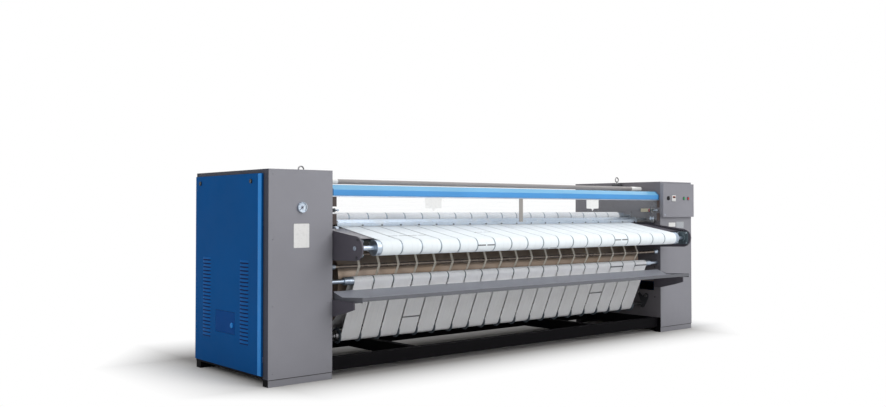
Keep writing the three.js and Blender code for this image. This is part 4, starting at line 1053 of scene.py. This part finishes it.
class IRONER_OT_drive(bpy.types.Operator):
    """Gear motor, small sprocket, drive chain, bearings and the steam union behind the inner plates"""

    bl_idname = "ironer.drive"
    bl_label = "Drive and steam side"

    def execute(self, context):
        name = "drive_sprocket"
        low, high = box_of(name)
        axis = axis_of(name)
        wheel = sprocket(axis, SMALL_WHEEL, inner=12, x=low[0], teeth=16)
        add_piece("small_sprocket", wheel, "dark_casting", name, name, slot="polished_steel")
        shaft = rod((low[0] - 2, high[0] - 1), axis, 16)
        add_piece("motor_shaft", shaft, "zinc", name, slot="polished_steel")
        wheels = ((CYLINDER, LARGE_WHEEL), (axis, SMALL_WHEEL))
        path = belt_path([(*centre, radius + CHAIN_LIFT, 1) for centre, radius in wheels], 16)
        add_piece("drive_chain_links", chain(path, 1756), "zinc", replaces="drive_chain")
        refined("gear_motor_case", "gear_motor", "drive_casting", 2)
        fin = ((0, 69.5), (0, 74.5), (3, 74.5), (3, 69.5))
        fins = [turned(stepped(1950 + 9 * k, fin), axis, "x", 48) for k in range(16)]
        add_piece("motor_fins", fins, "drive_casting")
        terminals = block((1985, 2070), about(axis[0], 40), (axis[1] + 73.5, axis[1] + 110))
        add_piece("motor_terminal_box", terminals, "drive_casting", bevel=3)
        for side, _ in SIDES:
            refined(f"cylinder_bearing_{side}_housing", f"cylinder_bearing_{side}", "dark_casting", 1.5)
        refined("steam_union_body", "steam_union", "dark_casting", 1.5)
        return {"FINISHED"}


# ---- frame and covers
class IRONER_OT_structure(bpy.types.Operator):
    """Base frame, inner plates, rear cover, feed arms and conveyor bed"""

    bl_idname = "ironer.structure"
    bl_label = "Frame and plates"

    def execute(self, context):
        for part in ("front_beam", "rear_beam", "cross_member_left", "cross_member_right"):
            refined(f"base_{part}_tube", f"base_{part}", "frame_black", 3)
        for side, _ in SIDES:
            self.end_frame(f"base_end_frame_{side}")
        for side, sign in SIDES:
            refined(f"inner_plate_{side}_sheet", f"inner_plate_{side}", "plate_grey", 0.8)
            refined(f"tray_bracket_{side}_plate", f"tray_bracket_{side}", "arm_grey", 0.8, "tray_grey")
            self.feed_arm(side, sign)
            self.plate_details(side, sign)
        refined("rear_cover_sheet", "rear_cover", "column_grey", 1)
        bed = refined("conveyor_bed", "slider_bed", "arm_grey", 0.6, "zinc_steel")
        two_tone(bed, "bed_tan", lambda c, n: (abs(n[:, 0]) > 0.9) | (n[:, 2] < -0.5))
        return {"FINISHED"}

    def end_frame(self, node):
        """An end frame, its front in the column's grey, with the seam under the column."""
        piece = refined(node + "_tube", node, "frame_black", 3)
        two_tone(piece, "column_grey", lambda c, n: (n[:, 1] < -0.9) & (c[:, 1] < FRONT_Y + 5))
        low, high = box_of(node)
        seam = block((low[0] + 1, high[0] - 1), (low[1] - 1.2, low[1] + 0.5), (40.4, 43.9))
        add_piece(node + "_seam", seam, "black_plastic")

    def feed_arm(self, side, sign):
        """A feed arm, the studs that hold it and the bolts of its flange bearing."""
        arm = refined(f"feed_arm_{side}_plate", f"feed_arm_{side}", "arm_grey", 1.2)
        two_tone(arm, "bearing_slate", lambda c, n: abs(c[:, 0]) < PLATE_X - 16.5)
        y, z, _ = ROLLERS["feed_front_roller"]
        stud = stepped(sign * (PLATE_X - 4), ((-0.5, 0), (-0.5, 9), (4, 9), (5, 8), (5, 0)), sign)
        studs = [turned(stud, (y + a, z + b), "x", 24) for a, b in ((-28, 53), (-17, -56))]
        add_piece(f"feed_arm_studs_{side}", studs, "dark_casting", slot="dark_arm")
        face = -sign * box_of("feed_arm_left")[1][0]
        bolt = stepped(face, ((16, 0), (16, 8), (9, 8), (8, 7), (8, 0)), sign)
        bolts = [turned(bolt, (y + a, z + b), "x", 6) for a in (-41, 41) for b in (-41, 41)]
        add_piece(f"feed_bearing_bolts_{side}", bolts, "zinc")

    def plate_details(self, side, sign):
        """Belt take-up lever, its nuts, and screws on an inner plate."""
        corners = ((250, 353), (207, 251), (211, 205), (190, 196), (172, 208), (128, 290), (130, 318))
        corners += ((152, 330), (186, 300))
        lever = swept(rounded([at(*corner) for corner in corners], 8), inside(sign, 0.4, 8))
        add_piece(f"take_up_lever_{side}", lever, "dark_casting", slot="dark_plate", bevel=1)
        nuts = ((20, at(149, 304), 13), (14, at(232, 330), 9))
        nuts = [rod(inside(sign, 8, far), place, radius, 1, 6) for far, place, radius in nuts]
        add_piece(f"take_up_nuts_{side}", nuts, "rod_grey")
        places = ((514, 1150), (515, 1089), (309, 1037), (60, 300), (60, 560))
        places += ((420, 1200), (700, 1200), (880, 1200))
        screws = [rod(inside(sign, 0.3, 4.5), at(*place), 7, 1, 6) for place in places]
        add_piece(f"plate_screws_{side}", screws, "dark_casting", slot="dark_plate")


class IRONER_OT_columns(bpy.types.Operator):
    """Column covers, their screws, the lifting eyes and the bare plates"""

    bl_idname = "ironer.columns"
    bl_label = "Columns"

    def execute(self, context):
        for side, sign in SIDES:
            for part in ("front", "cover"):
                node = f"column_{part}_{side}"
                sheet = refined(node + "_sheet", node, "column_grey", 1.2)
                trim = lambda c, n: (n[:, 0] * sign > 0.9) & (c[:, 0] * sign > SHELL_X - 5)
                two_tone(sheet, "trim_dark", trim)
            heights = (80, 480, 880, 1270) if side == "left" else (80, 480, 880)
            columns = (sign * (PLATE_X + 30), sign * (SHELL_X - 30))
            screws = [pan_head(x, FRONT_Y, z, size("screw_radius")) for x in columns for z in heights]
            add_piece(f"front_screws_{side}", screws, "column_grey")
            self.eye(side, sign)
            ends = (sign * (SHELL_X - 50), sign * (SHELL_X - 300))
            rib = block(ends, (50, 52), (TOP_Z - 0.5, TOP_Z + 0.6))
            add_piece(f"top_rib_{side}", rib, "plate_grey", slot="grey_cover")
        for name, x, z, finish in (
            ("left", (-1962, -1853), (823, 970), "blank_white"),
            ("right_inner", (1801, 1898), (908, 944), "blank_white"),
            ("right_outer", (1912, 2021), (895, 951), "blank_grey"),
        ):
            plate = swept(rounded(rectangle(x, z), 5), behind(-1.1, -0.1), "y")
            add_piece("front_plate_" + name, plate, finish, bevel=0.3)
        return {"FINISHED"}

    def eye(self, side, sign):
        """Lifting eye: a torus, x = (R + r cos v) cos u, z = (R + r cos v) sin u, on a collar and a lug."""
        node = f"lifting_eye_{side}"
        low, high = box_of(node)
        x, y, z = sign * (PLATE_X - 39), middle_of(node)[1], high[2] - 25
        turns = [np.linspace(0, 2 * math.pi, count, endpoint=False) for count in (48, 18)]
        u, v = np.meshgrid(*turns, indexing="ij")
        reach = 20 + 5 * np.cos(v)
        ring = np.stack([x + reach * np.cos(u), y + 5 * np.sin(v), z + reach * np.sin(u)], axis=-1)
        ring = ring.reshape(-1, 3)
        top = low[2] + 24
        collar = stepped(top, ((-1, 0), (-1, 12), (1, 13), (8, 13), (12, 8), (19, 6.5), (21, 0)))
        ring = [(ring, grid_faces(48, 18, True, True)), turned(collar, (x, y), "z", 32)]
        add_piece(node + "_ring", ring, "rod_grey", replaces=node)
        lug = block(inside(sign, 0.3, 72), about(y, 33), (low[2], top))
        add_piece(node + "_lug", lug, "dark_casting", slot="black_frame", bevel=2)


class IRONER_OT_side_panels(bpy.types.Operator):
    """Side panels with their bent edge in a brighter blue as painted highlight, louvres with painted
    highlight and painted shade, panel locks and the service hatch
    """

    bl_idname = "ironer.side_panels"
    bl_label = "Side panels"

    def execute(self, context):
        for side, sign in SIDES:
            self.panel(f"side_panel_{side}", sign)
            for end in ("front", "rear"):
                self.lock(f"panel_lock_{side}_{end}", sign)
        self.hatch()
        return {"FINISHED"}

    def panel(self, node, sign):
        """A side panel with its bent edge, its louvre hoods in a lighter blue as painted highlight, and dark
        strips under them as painted shade.
        """
        refined(node + "_sheet", node, "panel_blue", 1.2)
        low, high = box_of(node)
        face = max(sign * low[0], sign * high[0]) * sign
        edge = ((0.2, 1.5), (3.4, 7.5), (3.4, 43.5), (0.2, 48.5))
        strip = rounded([(face + sign * x, low[1] + y) for x, y in edge], 2)
        # the bent edge strip is painted brighter as painted highlight
        add_piece(node + "_edge", swept(strip, (low[2] + 2, high[2] - 2), "z"), "edge_blue", node)
        width = size("louvre_width")
        hoods, slot_shades = [], []
        for y in behind(227, 739):
            for z in 230 + size("louvre_pitch") * np.arange(bpy.context.scene.ironer_sizes.louvre_count):
                hoods.append(hood(face, sign, y, z, width))
                # a dark strip just proud of the panel under each hood is painted shade
                depth = (face - sign * 1.5, face + sign * 0.15)
                slot_shades.append(block(depth, (y - 1, y + width + 1), (z - 4, z + 8)))
        add_piece(node + "_louvres", hoods, "louvre_blue", node)
        add_piece(node + "_slots", slot_shades, "louvre_slot", node)

    def lock(self, node, sign):
        """A quarter-turn lock: a dished head with a key bar, and the cam behind the cover's lip."""
        low, high = box_of(node)
        back, face = sorted((low[0], high[0]), key=abs)
        y, z = low[1] + 13, middle_of(node)[2]
        head = ((-5, 0), (-5, 4), (-0.6, 5.5), (0, 7), (0, 11.5), (-1.5, 13), (-8, 13), (-8, 5))
        profile = stepped(face, head, sign) + [(back, 5), (back, 0)]
        cam = block((back, back + 3 * sign), (y - 5, y + 24), about(z, 5))
        add_piece(node + "_head", [turned(profile, (y, z), "x", 36), cam], "black_plastic", node, node)
        key = block((face - 6 * sign, face - 1.5 * sign), about(y, 3.6), about(z, 1))
        add_piece(node + "_key", key, "zinc", node, bevel=0.3)

    def hatch(self):
        """The hatch door, and its lock: a turned knob with a cam behind and a grip in front."""
        refined("service_hatch_door", "service_hatch", "hatch_blue", 0.8)
        node = "service_hatch_lock"
        (x, _, foot), (back, _, top) = box_of(node)
        y, z = middle_of(node)[1], top - 17
        profile = stepped(x, ((0, 0), (0, 14), (2, 16.5), (5, 17), (8, 17), (8, 5)))
        profile += [(back, 5), (back, 0)]
        cam = block((back - 2.7, back), about(y, 5), (foot, z + 5))
        knob = [turned(profile, (y, z), "x", 40), cam]
        # the knob takes the bent edge's highlight blue as its colour
        add_piece("service_hatch_knob", knob, "edge_blue", node, node, slot="black_plastic")
        # the grip takes the louvres' highlight blue as its colour
        wing = block((x - 0.1, x + 3), about(y, 2.6), about(z, 14.5))
        add_piece("service_hatch_grip", wing, "louvre_blue", node, bevel=0.6)


def hood(face, sign, y0, z0, width):
    """A louvre hood over a slot: it bulges out by depth * sqrt(sin(pi u)) * sin(pi v / 2) from its top line
    and stays open along its lower edge; u runs along its width, v from the top line down."""
    u = np.linspace(0, 1, 9)[:, None]
    v = np.array([0.0, 0.35, 0.7, 1.0])[None, :]
    depth = 7.4
    out = depth * np.sin(math.pi * u) ** 0.5 * np.sin(math.pi * v / 2)
    z = z0 + 18.5 - 13.5 * v + 0 * u
    y = y0 - 3 + (width + 6) * u + 0 * v
    outer = np.stack([face + sign * (out + 0.2), y, z], axis=-1)
    inner = np.stack([face + sign * (out - 0.9), y, z - 0.3], axis=-1)[:, ::-1]
    return skinned(np.concatenate([outer, inner], axis=1))


# ---- guard, nip bar and tray
class IRONER_OT_guard(bpy.types.Operator):
    """Guard beam, hanging clear guard, nip bar, tie tube and limit switches"""

    bl_idname = "ironer.guard"
    bl_label = "Guard and nip bar"

    def execute(self, context):
        self.beam()
        self.clear_guard()
        self.nip_bar()
        self.tie_tube()
        for side, sign in SIDES:
            self.switch(side, sign)
        return {"FINISHED"}

    def beam(self):
        """The folded guard beam with its two end caps; its upward faces in a paler blue as painted highlight,
        its end caps in a darker copy of its blue as painted shade.
        """
        low, high = span_of("guard_beam", 0)
        line = ((77.5, 1185), (77.5, 1214.5), (48, 1213.6), (13.5, 1183), (13.5, 1143.5), (43, 1143.5))
        shape = swept(folded([at(*place) for place in line], 2.5, 3), (low + 14, high - 14))
        cover = add_piece("guard_beam_cover", shape, "beam_blue", replaces="guard_beam")
        # upward faces take a paler blue as painted highlight
        two_tone(cover, "beam_pale", lambda c, n: n[:, 2] > 0.3)
        edge = rounded([at(13, 1144), at(77, 1144), at(77, 1215), at(47.5, 1214.6), at(13, 1184)], 2)
        ends = [swept(edge, (low, low + 16)), swept(edge, (high - 16, high))]
        # the end caps are painted darker as shade beside the columns
        add_piece("guard_beam_ends", ends, "beam_deep", bevel=0.6)

    def clear_guard(self):
        """Two clear sheets on a hinge rod, with strips over their edges and three-sided plates."""
        body = "finger_guard"
        (x0, rear, z0), (x1, _, top) = box_of(body)
        y0 = FRONT_Y + 10
        z1 = top - 3.6
        sheet = rounded(rectangle((y0, y0 + 3), (z0, z1)), 0.6, 2)
        halves = [swept(sheet, (x0, -11.5)), swept(sheet, (-8.5, x1))]
        add_piece("guard_sheets", halves, "clear_sheet", body, body)
        add_piece("guard_hinge_rod", rod((x0, x1), (y0 + 1.5, top - 3.5), 3.4, 0.4, 20), "zinc", body)
        depth = (rear, y0 + 0.4)
        strip = swept(rounded(rectangle((-29.5, 9.5), (z0 + 4, z1 - 3)), 2), depth, "y")
        add_piece("guard_centre_strip", strip, "strip_grey", body, bevel=0.5)
        for side, sign in SIDES:
            bands = [rectangle(inside(sign, 2, 35), z) for z in ((z0, 1029), (1075, z1 - 2))]
            strips = [swept(rounded(band, 1.5), depth, "y") for band in bands]
            add_piece(f"guard_edge_strip_{side}", strips, "strip_brown", body, bevel=0.5)
        for side, a, b in (("left", -927, -784), ("right", 729, 876)):
            mid = (a + b) / 2
            notch = [(mid - 12, 1064), (mid, 1042), (mid + 12, 1064)]
            shield = [(a, 1135), (a, 1066), *notch, (b, 1066), (b, 1135)]
            plate = swept(rounded(shield, 4), (y0 - 0.9, y0 - 0.05), "y")
            add_piece(f"guard_plate_{side}", plate, "blank_white", body)

    def nip_bar(self):
        """The folded bar with dark blocks at the belt gaps as painted shade, and a slide with two knobs at
        each end.
        """
        half = 1550
        strip = swept(folded([at(165, 992), at(145, 972), at(145, 947)], 3, 2), (-half, half))
        add_piece("nip_bar_strip", strip, "zinc", replaces="nip_bar")
        # dark blocks on the bar's face at each belt gap are painted shade
        shade_blocks = [
            block(about(x, 7), behind(144.2, 145.1), (947.2, 957.2))
            for x in belt_centres() + size("belt_pitch") / 2
        ]
        add_piece("nip_bar_notches", shade_blocks, "black_plastic")
        knob = ((966.5, 0), (966.5, 6), (972, 6), (973, 12), (975, 14), (985, 14), (987, 12))
        knob += ((987, 5), (996, 4), (997, 0))
        for side, sign in SIDES:
            arm = block((sign * (PLATE_X - 0.3), sign * (half - 8)), behind(148, 154), (962, 984))
            slide = block(inside(sign, 0.4, 24), behind(52, 250), (944.5, 966.5))
            add_piece(f"nip_bar_slide_{side}", [arm, slide], "rod_grey", bevel=1.5)
            knobs = [turned(knob, (sign * (PLATE_X - 12), y), "z", 24) for y in behind(66, 92)]
            add_piece(f"nip_bar_knobs_{side}", knobs, "zinc")

    def tie_tube(self):
        """The tube behind the beam with its end sleeves."""
        axis = axis_of("tie_tube")
        left, right = 172 - PLATE_X, PLATE_X - 137
        bar = rod((left - 20, right + 20), axis, 16.6, 1, 40)
        add_piece("tie_tube_bar", bar, "tube_grey", replaces="tie_tube")
        sleeves = [rod(x, axis, 17.5, 1.5, 40) for x in ((0.3 - PLATE_X, left), (right, PLATE_X - 0.3))]
        add_piece("tie_tube_sleeves", sleeves, "white_plastic", slot="grey_tube")

    def switch(self, side, sign):
        """A limit switch: nose and collar in front, body on a bracket, a short wire to the wall, plunger."""
        name, plunger = f"limit_switch_{side}", f"switch_plunger_{side}"
        x, z = middle_of(plunger)[0], 1052
        y0, y1 = behind(60, 108)
        wall = sign * (PLATE_X - 0.3)
        nose = stepped(y0, ((0, 5.4), (0, 12), (1, 13), (30, 13), (31, 11.5), (49, 11.5), (49, 5.4)))
        add_piece(name + "_nose", turned(nose, (x, z), "y", 32), "black_plastic")
        collar = stepped(y0, ((31, 11.4), (31.2, 13.4), (39.5, 13.4), (40, 11.4)))
        add_piece(name + "_collar", turned(collar, (x, z), "y", 32), "red_plastic")
        plate = block((wall, wall - sign * 34), (y0 + 6, y0 + 9), about(z, 22))
        add_piece(name + "_plate", plate, "strip_grey", slot="zinc_steel", bevel=0.8)
        body = block(about(x, 15), (y1, y1 + 74), about(z, 15))
        add_piece(name + "_body", body, "switch_beige", bevel=1.5, replaces=name)
        shelf = block((wall, x), (y1 + 10, y1 + 64), (z - 15.5, z - 11.5))
        pad = block((wall, wall - sign * 4), (y1 + 10, y1 + 64), about(z, 15))
        add_piece(name + "_bracket", [shelf, pad], "zinc", bevel=0.5)
        t = np.linspace(0, 1, 24)
        wire = [x + (wall - x) * t**2, y1 + 72 + 45 * np.sin(math.pi * t / 2), z + 12 * np.sin(math.pi * t)]
        add_piece(name + "_wire", tube(np.stack(wire, axis=1), 2.6, 12), "black_plastic")
        pin = stepped(box_of(plunger)[0][1], ((0, 0), (0, 6.5), (1.5, 8), (7, 8), (8, 5)))
        pin = turned(pin + [(y0 + 20, 5), (y0 + 20, 0)], (x, z), "y", 28)
        add_piece(plunger + "_pin", pin, "zinc", plunger, plunger)


class IRONER_OT_tray(bpy.types.Operator):
    """Linen tray under the exit roller"""

    bl_idname = "ironer.tray"
    bl_label = "Linen tray"

    def execute(self, context):
        low, high = span_of("linen_tray", 0)
        line = [at(-299, 525), at(-300, 500), at(-80, 503), at(20, 540)]
        shape = swept(folded(line, 2.5, size("bend_radius")), (low + 1.2, high - 1.2))
        # the sheet is painted darker as shade, except its upward faces
        sheet = add_piece("linen_tray_sheet", shape, "tray_lip", replaces="linen_tray")
        # upward faces are painted lighter as highlight
        two_tone(sheet, "tray_top", lambda c, n: n[:, 2] > 0.7)
        edge = rounded([at(-300, 492), at(20, 492), at(20, 540), at(-80, 512), at(-298, 525)], 3)
        ends = [swept(edge, (low, low + 2.5)), swept(edge, (high - 2.5, high))]
        # the tray's ends are painted darker as shade
        add_piece("linen_tray_ends", ends, "tray_lip")
        return {"FINISHED"}


# ---- controls and gauge
class IRONER_OT_controls(bpy.types.Operator):
    """Control door with its selector, temperature controller and push buttons"""

    bl_idname = "ironer.controls"
    bl_label = "Control door"

    def execute(self, context):
        door = "control_door"
        face = box_of(door)[0][1] + 6
        z = 1156  # the row of controls
        selector, controller, start, stop = 1755, 1833, 1984, 2046
        refined("control_door_shell", door, "column_grey", 1)
        button_ring = stepped(face, ((-4.6, 11.6), (-4.6, 13), (-3.6, 15.6), (0.1, 15.6), (0.1, 11.6)))
        knob_ring = stepped(face, ((-1.6, 6.5), (-1.6, 18), (-0.6, 19), (0.1, 19), (0.1, 6.5)))
        bezels = ((button_ring, start), (button_ring, stop), (knob_ring, selector))
        rings = [turned(ring, (x, z), "y", 40) for ring, x in bezels]
        add_piece("control_bezels", rings, "black_plastic", door)
        self.controller(door, controller, face, z)
        add_piece("control_door_screws", pan_head(1708, face, 1012, 5.5), "zinc", door)
        self.knob(selector, face, z)
        buttons = (("start_button", start, "green_plastic"), ("stop_button", stop, "red_plastic"))
        for name, x, finish in buttons:
            low, high = span_of(name, 1)
            cap = stepped(low, ((0, 0), (0, 9), (1.2, 10.6), (3, 11)))
            cap += [(face + 4, 11), (face + 4, 6), (high, 6), (high, 0)]
            add_piece(name + "_cap", turned(cap, (x, z), "y", 36), finish, name, name)
        return {"FINISHED"}

    def controller(self, door, x, face, z):
        """The temperature controller: case, window and four keys."""
        case = swept(rounded(rectangle(about(x, 25.2), about(z, 25.2)), 3), (face - 6.2, face + 0.5), "y")
        add_piece("controller_case", case, "white_plastic", door, bevel=1)
        window = swept(rounded(rectangle(about(x, 20), (z, z + 19)), 1.5), (face - 6.5, face - 6), "y")
        add_piece("controller_window", window, "display", door)
        keys = [
            block((x - 19 + left, x - 12.5 + left), (face - 7, face - 6), (z - 18, z - 11.5))
            for left in 10.3 * np.arange(4)
        ]
        add_piece("controller_keys", keys, "blank_grey", door, slot="beige_plastic", bevel=0.4)

    def knob(self, x, face, z):
        """The selector: a grip on a turned base, with a pale line."""
        name = "selector_knob"
        low, high = span_of(name, 1)
        grip = block(about(x, 3.5), (low, face - 5), (z - 14, z + 17))
        add_piece(name + "_grip", grip, "black_plastic", name, name, bevel=1.2)
        base = stepped(face, ((-6.3, 0), (-6.3, 12.5), (-5, 14), (-0.4, 14), (-0.4, 5)))
        base = turned(base + [(high, 5), (high, 0)], (x, z), "y", 36)
        add_piece(name + "_base", base, "black_plastic", name)
        line = block(about(x, 0.6), (low - 0.2, low + 0.6), (z + 3, z + 16))
        add_piece(name + "_mark", line, "white_plastic", name, slot="gauge_white")


def hand(centre, turn, root, tip):
    """The outline of a straight hand: its corners are centre + distance * along + or - half width *
    across; root and tip are each a distance and a half width."""
    along = np.array([math.cos(turn), math.sin(turn)])
    across = np.array([-along[1], along[0]])
    corners = ((root, -1), (tip, -1), (tip, 1), (root, 1))
    return [centre + along * end[0] + across * end[1] * side for end, side in corners]


def scale_turn(share):
    """The direction of a place on the gauge's scale, by its share of the whole scale."""
    return math.radians(225 - 270 * share)


class IRONER_OT_gauge(bpy.types.Operator):
    """Steam pressure gauge with rim, scale and needle"""

    bl_idname = "ironer.gauge"
    bl_label = "Pressure gauge"

    def execute(self, context):
        case = "pressure_gauge"
        centre = middle_of(case)[[0, 2]]
        front, back = span_of(case, 1)
        rim = ((3, 33), (1, 32.4), (0, 31.4), (0, 30), (3, 27.5), (7.5, 27.5), (8, 0))
        rim = [(back, 0), (back, 33)] + stepped(front, rim)
        add_piece("gauge_case", turned(rim, centre, "y", 64), "zinc", replaces=case)
        dial = front + 8
        face = stepped(dial, ((-0.2, 0), (-0.2, 27.2), (0.4, 27.4), (0.4, 0)))
        add_piece("gauge_dial", turned(face, centre, "y", 64), "dial_grey")
        marks = []
        for k in range(31):
            inner, half_width = (20.5, 0.5) if k % 5 == 0 else (23.5, 0.25)
            mark = hand(centre, scale_turn(k / 30), (inner, half_width), (26.6, half_width))
            marks.append(swept(mark, (dial - 0.5, dial - 0.1), "y"))
        add_piece("gauge_scale", marks, "black_plastic")
        for number in range(0, 7, 2):
            self.figure(number, on_circle(centre, 16, scale_turn(number / 6)), dial - 0.3)
        name = "gauge_needle"
        front, back = span_of(name, 1)
        needle = swept(hand(centre, scale_turn(0), (-8, 1.5), (23, 0.4)), (front + 1, front + 2), "y")
        hub = stepped(front, ((0, 0), (0, 2.6), (0.8, 3.5))) + [(back, 3.5), (back, 0)]
        pointer = [needle, turned(hub, centre, "y", 24)]
        add_piece("gauge_pointer", pointer, "black_plastic", name, name, slot="red_plastic")
        return {"FINISHED"}

    def figure(self, number, place, y):
        """One number of the scale, made from a text curve and set into the frame as a mesh."""
        name = f"gauge_number_{number}"
        curve = bpy.data.curves.new(name, "FONT")
        curve.body = str(number)
        curve.size = 5.4 * MM
        curve.extrude = 0.1 * MM
        curve.align_x, curve.align_y = "CENTER", "CENTER"
        text = put("gauge_number_curve", curve)
        bpy.context.view_layer.update()
        mesh = bpy.data.meshes.new_from_object(text.evaluated_get(bpy.context.evaluated_depsgraph_get()))
        bpy.data.objects.remove(text)
        co = np.empty(len(mesh.vertices) * 3, dtype=np.float32)
        mesh.vertices.foreach_get("co", co)
        right, up, out = co.reshape(-1, 3).T / MM
        verts = np.stack([right + place[0], y - out, up + place[1]], axis=1).astype(float)
        faces = [list(p.vertices) for p in mesh.polygons]
        bpy.data.meshes.remove(mesh)
        add_piece(name, (verts, faces), "black_plastic")


# ---- stage, in metres
LIGHTS = (  # name, place, where it points, width, power
    ("key_light", (1.2, -6.8, 4.4), (0.0, -0.3, 0.8), 5.0, 250.0),
    ("low_light", (-2.4, -6.6, 0.9), (0.0, -0.3, 0.5), 4.0, 30.0),
    ("top_light", (0.0, -1.2, 4.8), (0.0, -0.3, 0.9), 5.0, 75.0),
    ("left_light", (-6.0, 1.0, 3.0), (-2.1, 0.1, 0.7), 3.5, 26.0),
    ("right_light", (6.0, 1.0, 3.0), (2.1, 0.1, 0.7), 3.5, 40.0),
    ("back_light", (0.5, 5.0, 3.6), (0.0, 0.2, 0.8), 5.0, 110.0),
)
WHITE = (1.0, 1.0, 1.0, 1.0)


class IRONER_OT_stage(bpy.types.Operator):
    """Pale floor, white surroundings, soft lights and the camera"""

    bl_idname = "ironer.stage"
    bl_label = "Stage"

    def execute(self, context):
        context.scene.view_settings.view_transform = "Standard"
        self.floor()
        self.world()
        for light in LIGHTS:
            self.light(*light)
        self.camera()
        return {"FINISHED"}

    def seen(self, g):
        """1 for rays that show a thing as it is: from the camera, off metal or through glass."""
        path = g.add("ShaderNodeLightPath")
        total = path["Is Camera Ray"] + path["Is Glossy Ray"] + path["Is Transmission Ray"]
        return g.span(total, 0.0, 1.0)

    def floor(self):
        """A large floor: grey below the machine as a painted shadow, and for rays that show it pure white
        away from it.
        """
        x, y = np.meshgrid(np.linspace(-40, 40, 41), np.linspace(-40, 40, 41), indexing="ij")
        verts = np.stack([x, y, np.full_like(x, -0.0005)], axis=-1).reshape(-1, 3)
        mesh = bpy.data.meshes.new("floor")
        mesh.from_pydata(verts.tolist(), [], [f[::-1] for f in grid_faces(41, 41)])
        put("floor", mesh)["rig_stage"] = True
        g = Graph.named("floor_pale")
        place = g.place()
        axes = g.split(place)
        beside = g.span(abs(axes["X"]), 2.05, 2.7)
        before = g.span(axes["Y"], -0.3, -0.9)
        beyond = g.span(axes["Y"], 1.0, 1.9)
        clear = g.span(beside + before + beyond, 0.0, 1.0)
        pale = g.blend(g.noise(place, 3.0, 4.0), (0.84, 0.84, 0.84, 1.0), (0.88, 0.88, 0.88, 1.0))
        # painted shadow: the floor's colour turns dark grey below the machine
        tone = g.blend(clear, (0.45, 0.44, 0.43, 1.0), pale)
        matt = g.add("ShaderNodeBsdfDiffuse", inputs={"Color": tone, "Roughness": 0.8})
        white = g.add("ShaderNodeEmission", inputs={"Color": WHITE, "Strength": 1.0})
        inputs = {0: self.seen(g) * clear, 1: matt["BSDF"], 2: white["Emission"]}
        mesh.materials.append(g.finish(g.add("ShaderNodeMixShader", inputs=inputs)["Shader"]))

    def world(self):
        """White surroundings: full strength for rays that show them, 0.4 for their light."""
        world = bpy.data.worlds.new("studio")
        bpy.context.scene.world = world
        world.use_nodes = True
        g = Graph(world.node_tree)
        strength = self.seen(g) * 0.6 + 0.4
        back = g.add("ShaderNodeBackground", inputs={"Color": WHITE, "Strength": strength})
        g.add("ShaderNodeOutputWorld", inputs={"Surface": back["Background"]})

    def light(self, name, place, target, width, power):
        """A round area light that points at a target."""
        lamp = bpy.data.lights.new(name, "AREA")
        lamp.shape = "DISK"
        lamp.size = width
        lamp.energy = power
        item = put(name, lamp)
        item.location = place
        item.rotation_euler = (Vector(target) - Vector(place)).to_track_quat("-Z", "Y").to_euler()

    def camera(self):
        """The camera, where its view fits the columns' corners."""
        lens = bpy.data.cameras.new("camera")
        lens.lens = 36.85
        lens.sensor_width = 36.0
        lens.shift_y = -0.0137
        lens.clip_end = 200.0
        camera = put("camera", lens)
        camera.location = (-4.819, -5.108, 1.051)
        camera.rotation_euler = (math.radians(90 + 1.2), 0.0, math.radians(-40.2))
        bpy.context.scene.camera = camera


# ---- registration
OPERATORS = (
    IRONER_OT_structure,
    IRONER_OT_cylinder,
    IRONER_OT_rollers,
    IRONER_OT_belts,
    IRONER_OT_tapes,
    IRONER_OT_drive,
    IRONER_OT_columns,
    IRONER_OT_side_panels,
    IRONER_OT_guard,
    IRONER_OT_tray,
    IRONER_OT_controls,
    IRONER_OT_gauge,
    IRONER_OT_stage,
)


class IRONER_PT_panel(bpy.types.Panel):
    """Lists the ironer's sizes, colours and operators"""

    bl_label = "Flatwork Ironer"
    bl_idname = "IRONER_PT_panel"
    bl_space_type = "VIEW_3D"
    bl_region_type = "UI"
    bl_category = "Ironer"

    def draw(self, context):
        for group in (context.scene.ironer_sizes, context.scene.ironer_colours):
            box_area = self.layout.box()
            for name in group.__annotations__:
                box_area.prop(group, name)
        for operator in OPERATORS:
            self.layout.operator(operator.bl_idname)


CLASSES = (IronerSizes, IronerColours, *OPERATORS, IRONER_PT_panel)


def register():
    for cls in CLASSES:
        bpy.utils.register_class(cls)
    bpy.types.Scene.ironer_sizes = bpy.props.PointerProperty(type=IronerSizes)
    bpy.types.Scene.ironer_colours = bpy.props.PointerProperty(type=IronerColours)


def unregister():
    del bpy.types.Scene.ironer_colours
    del bpy.types.Scene.ironer_sizes
    for cls in reversed(CLASSES):
        bpy.utils.unregister_class(cls)


def main():
    register()
    for operator in OPERATORS:
        group, name = operator.bl_idname.split(".")
        getattr(getattr(bpy.ops, group), name)()
    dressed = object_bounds()
    sizes_made = {
        "cad": [list(CAD_BOX[0]), list(CAD_BOX[1])],
        "dressed": [list(dressed[0]), list(dressed[1])],
    }


if __name__ == "__main__":
    main()
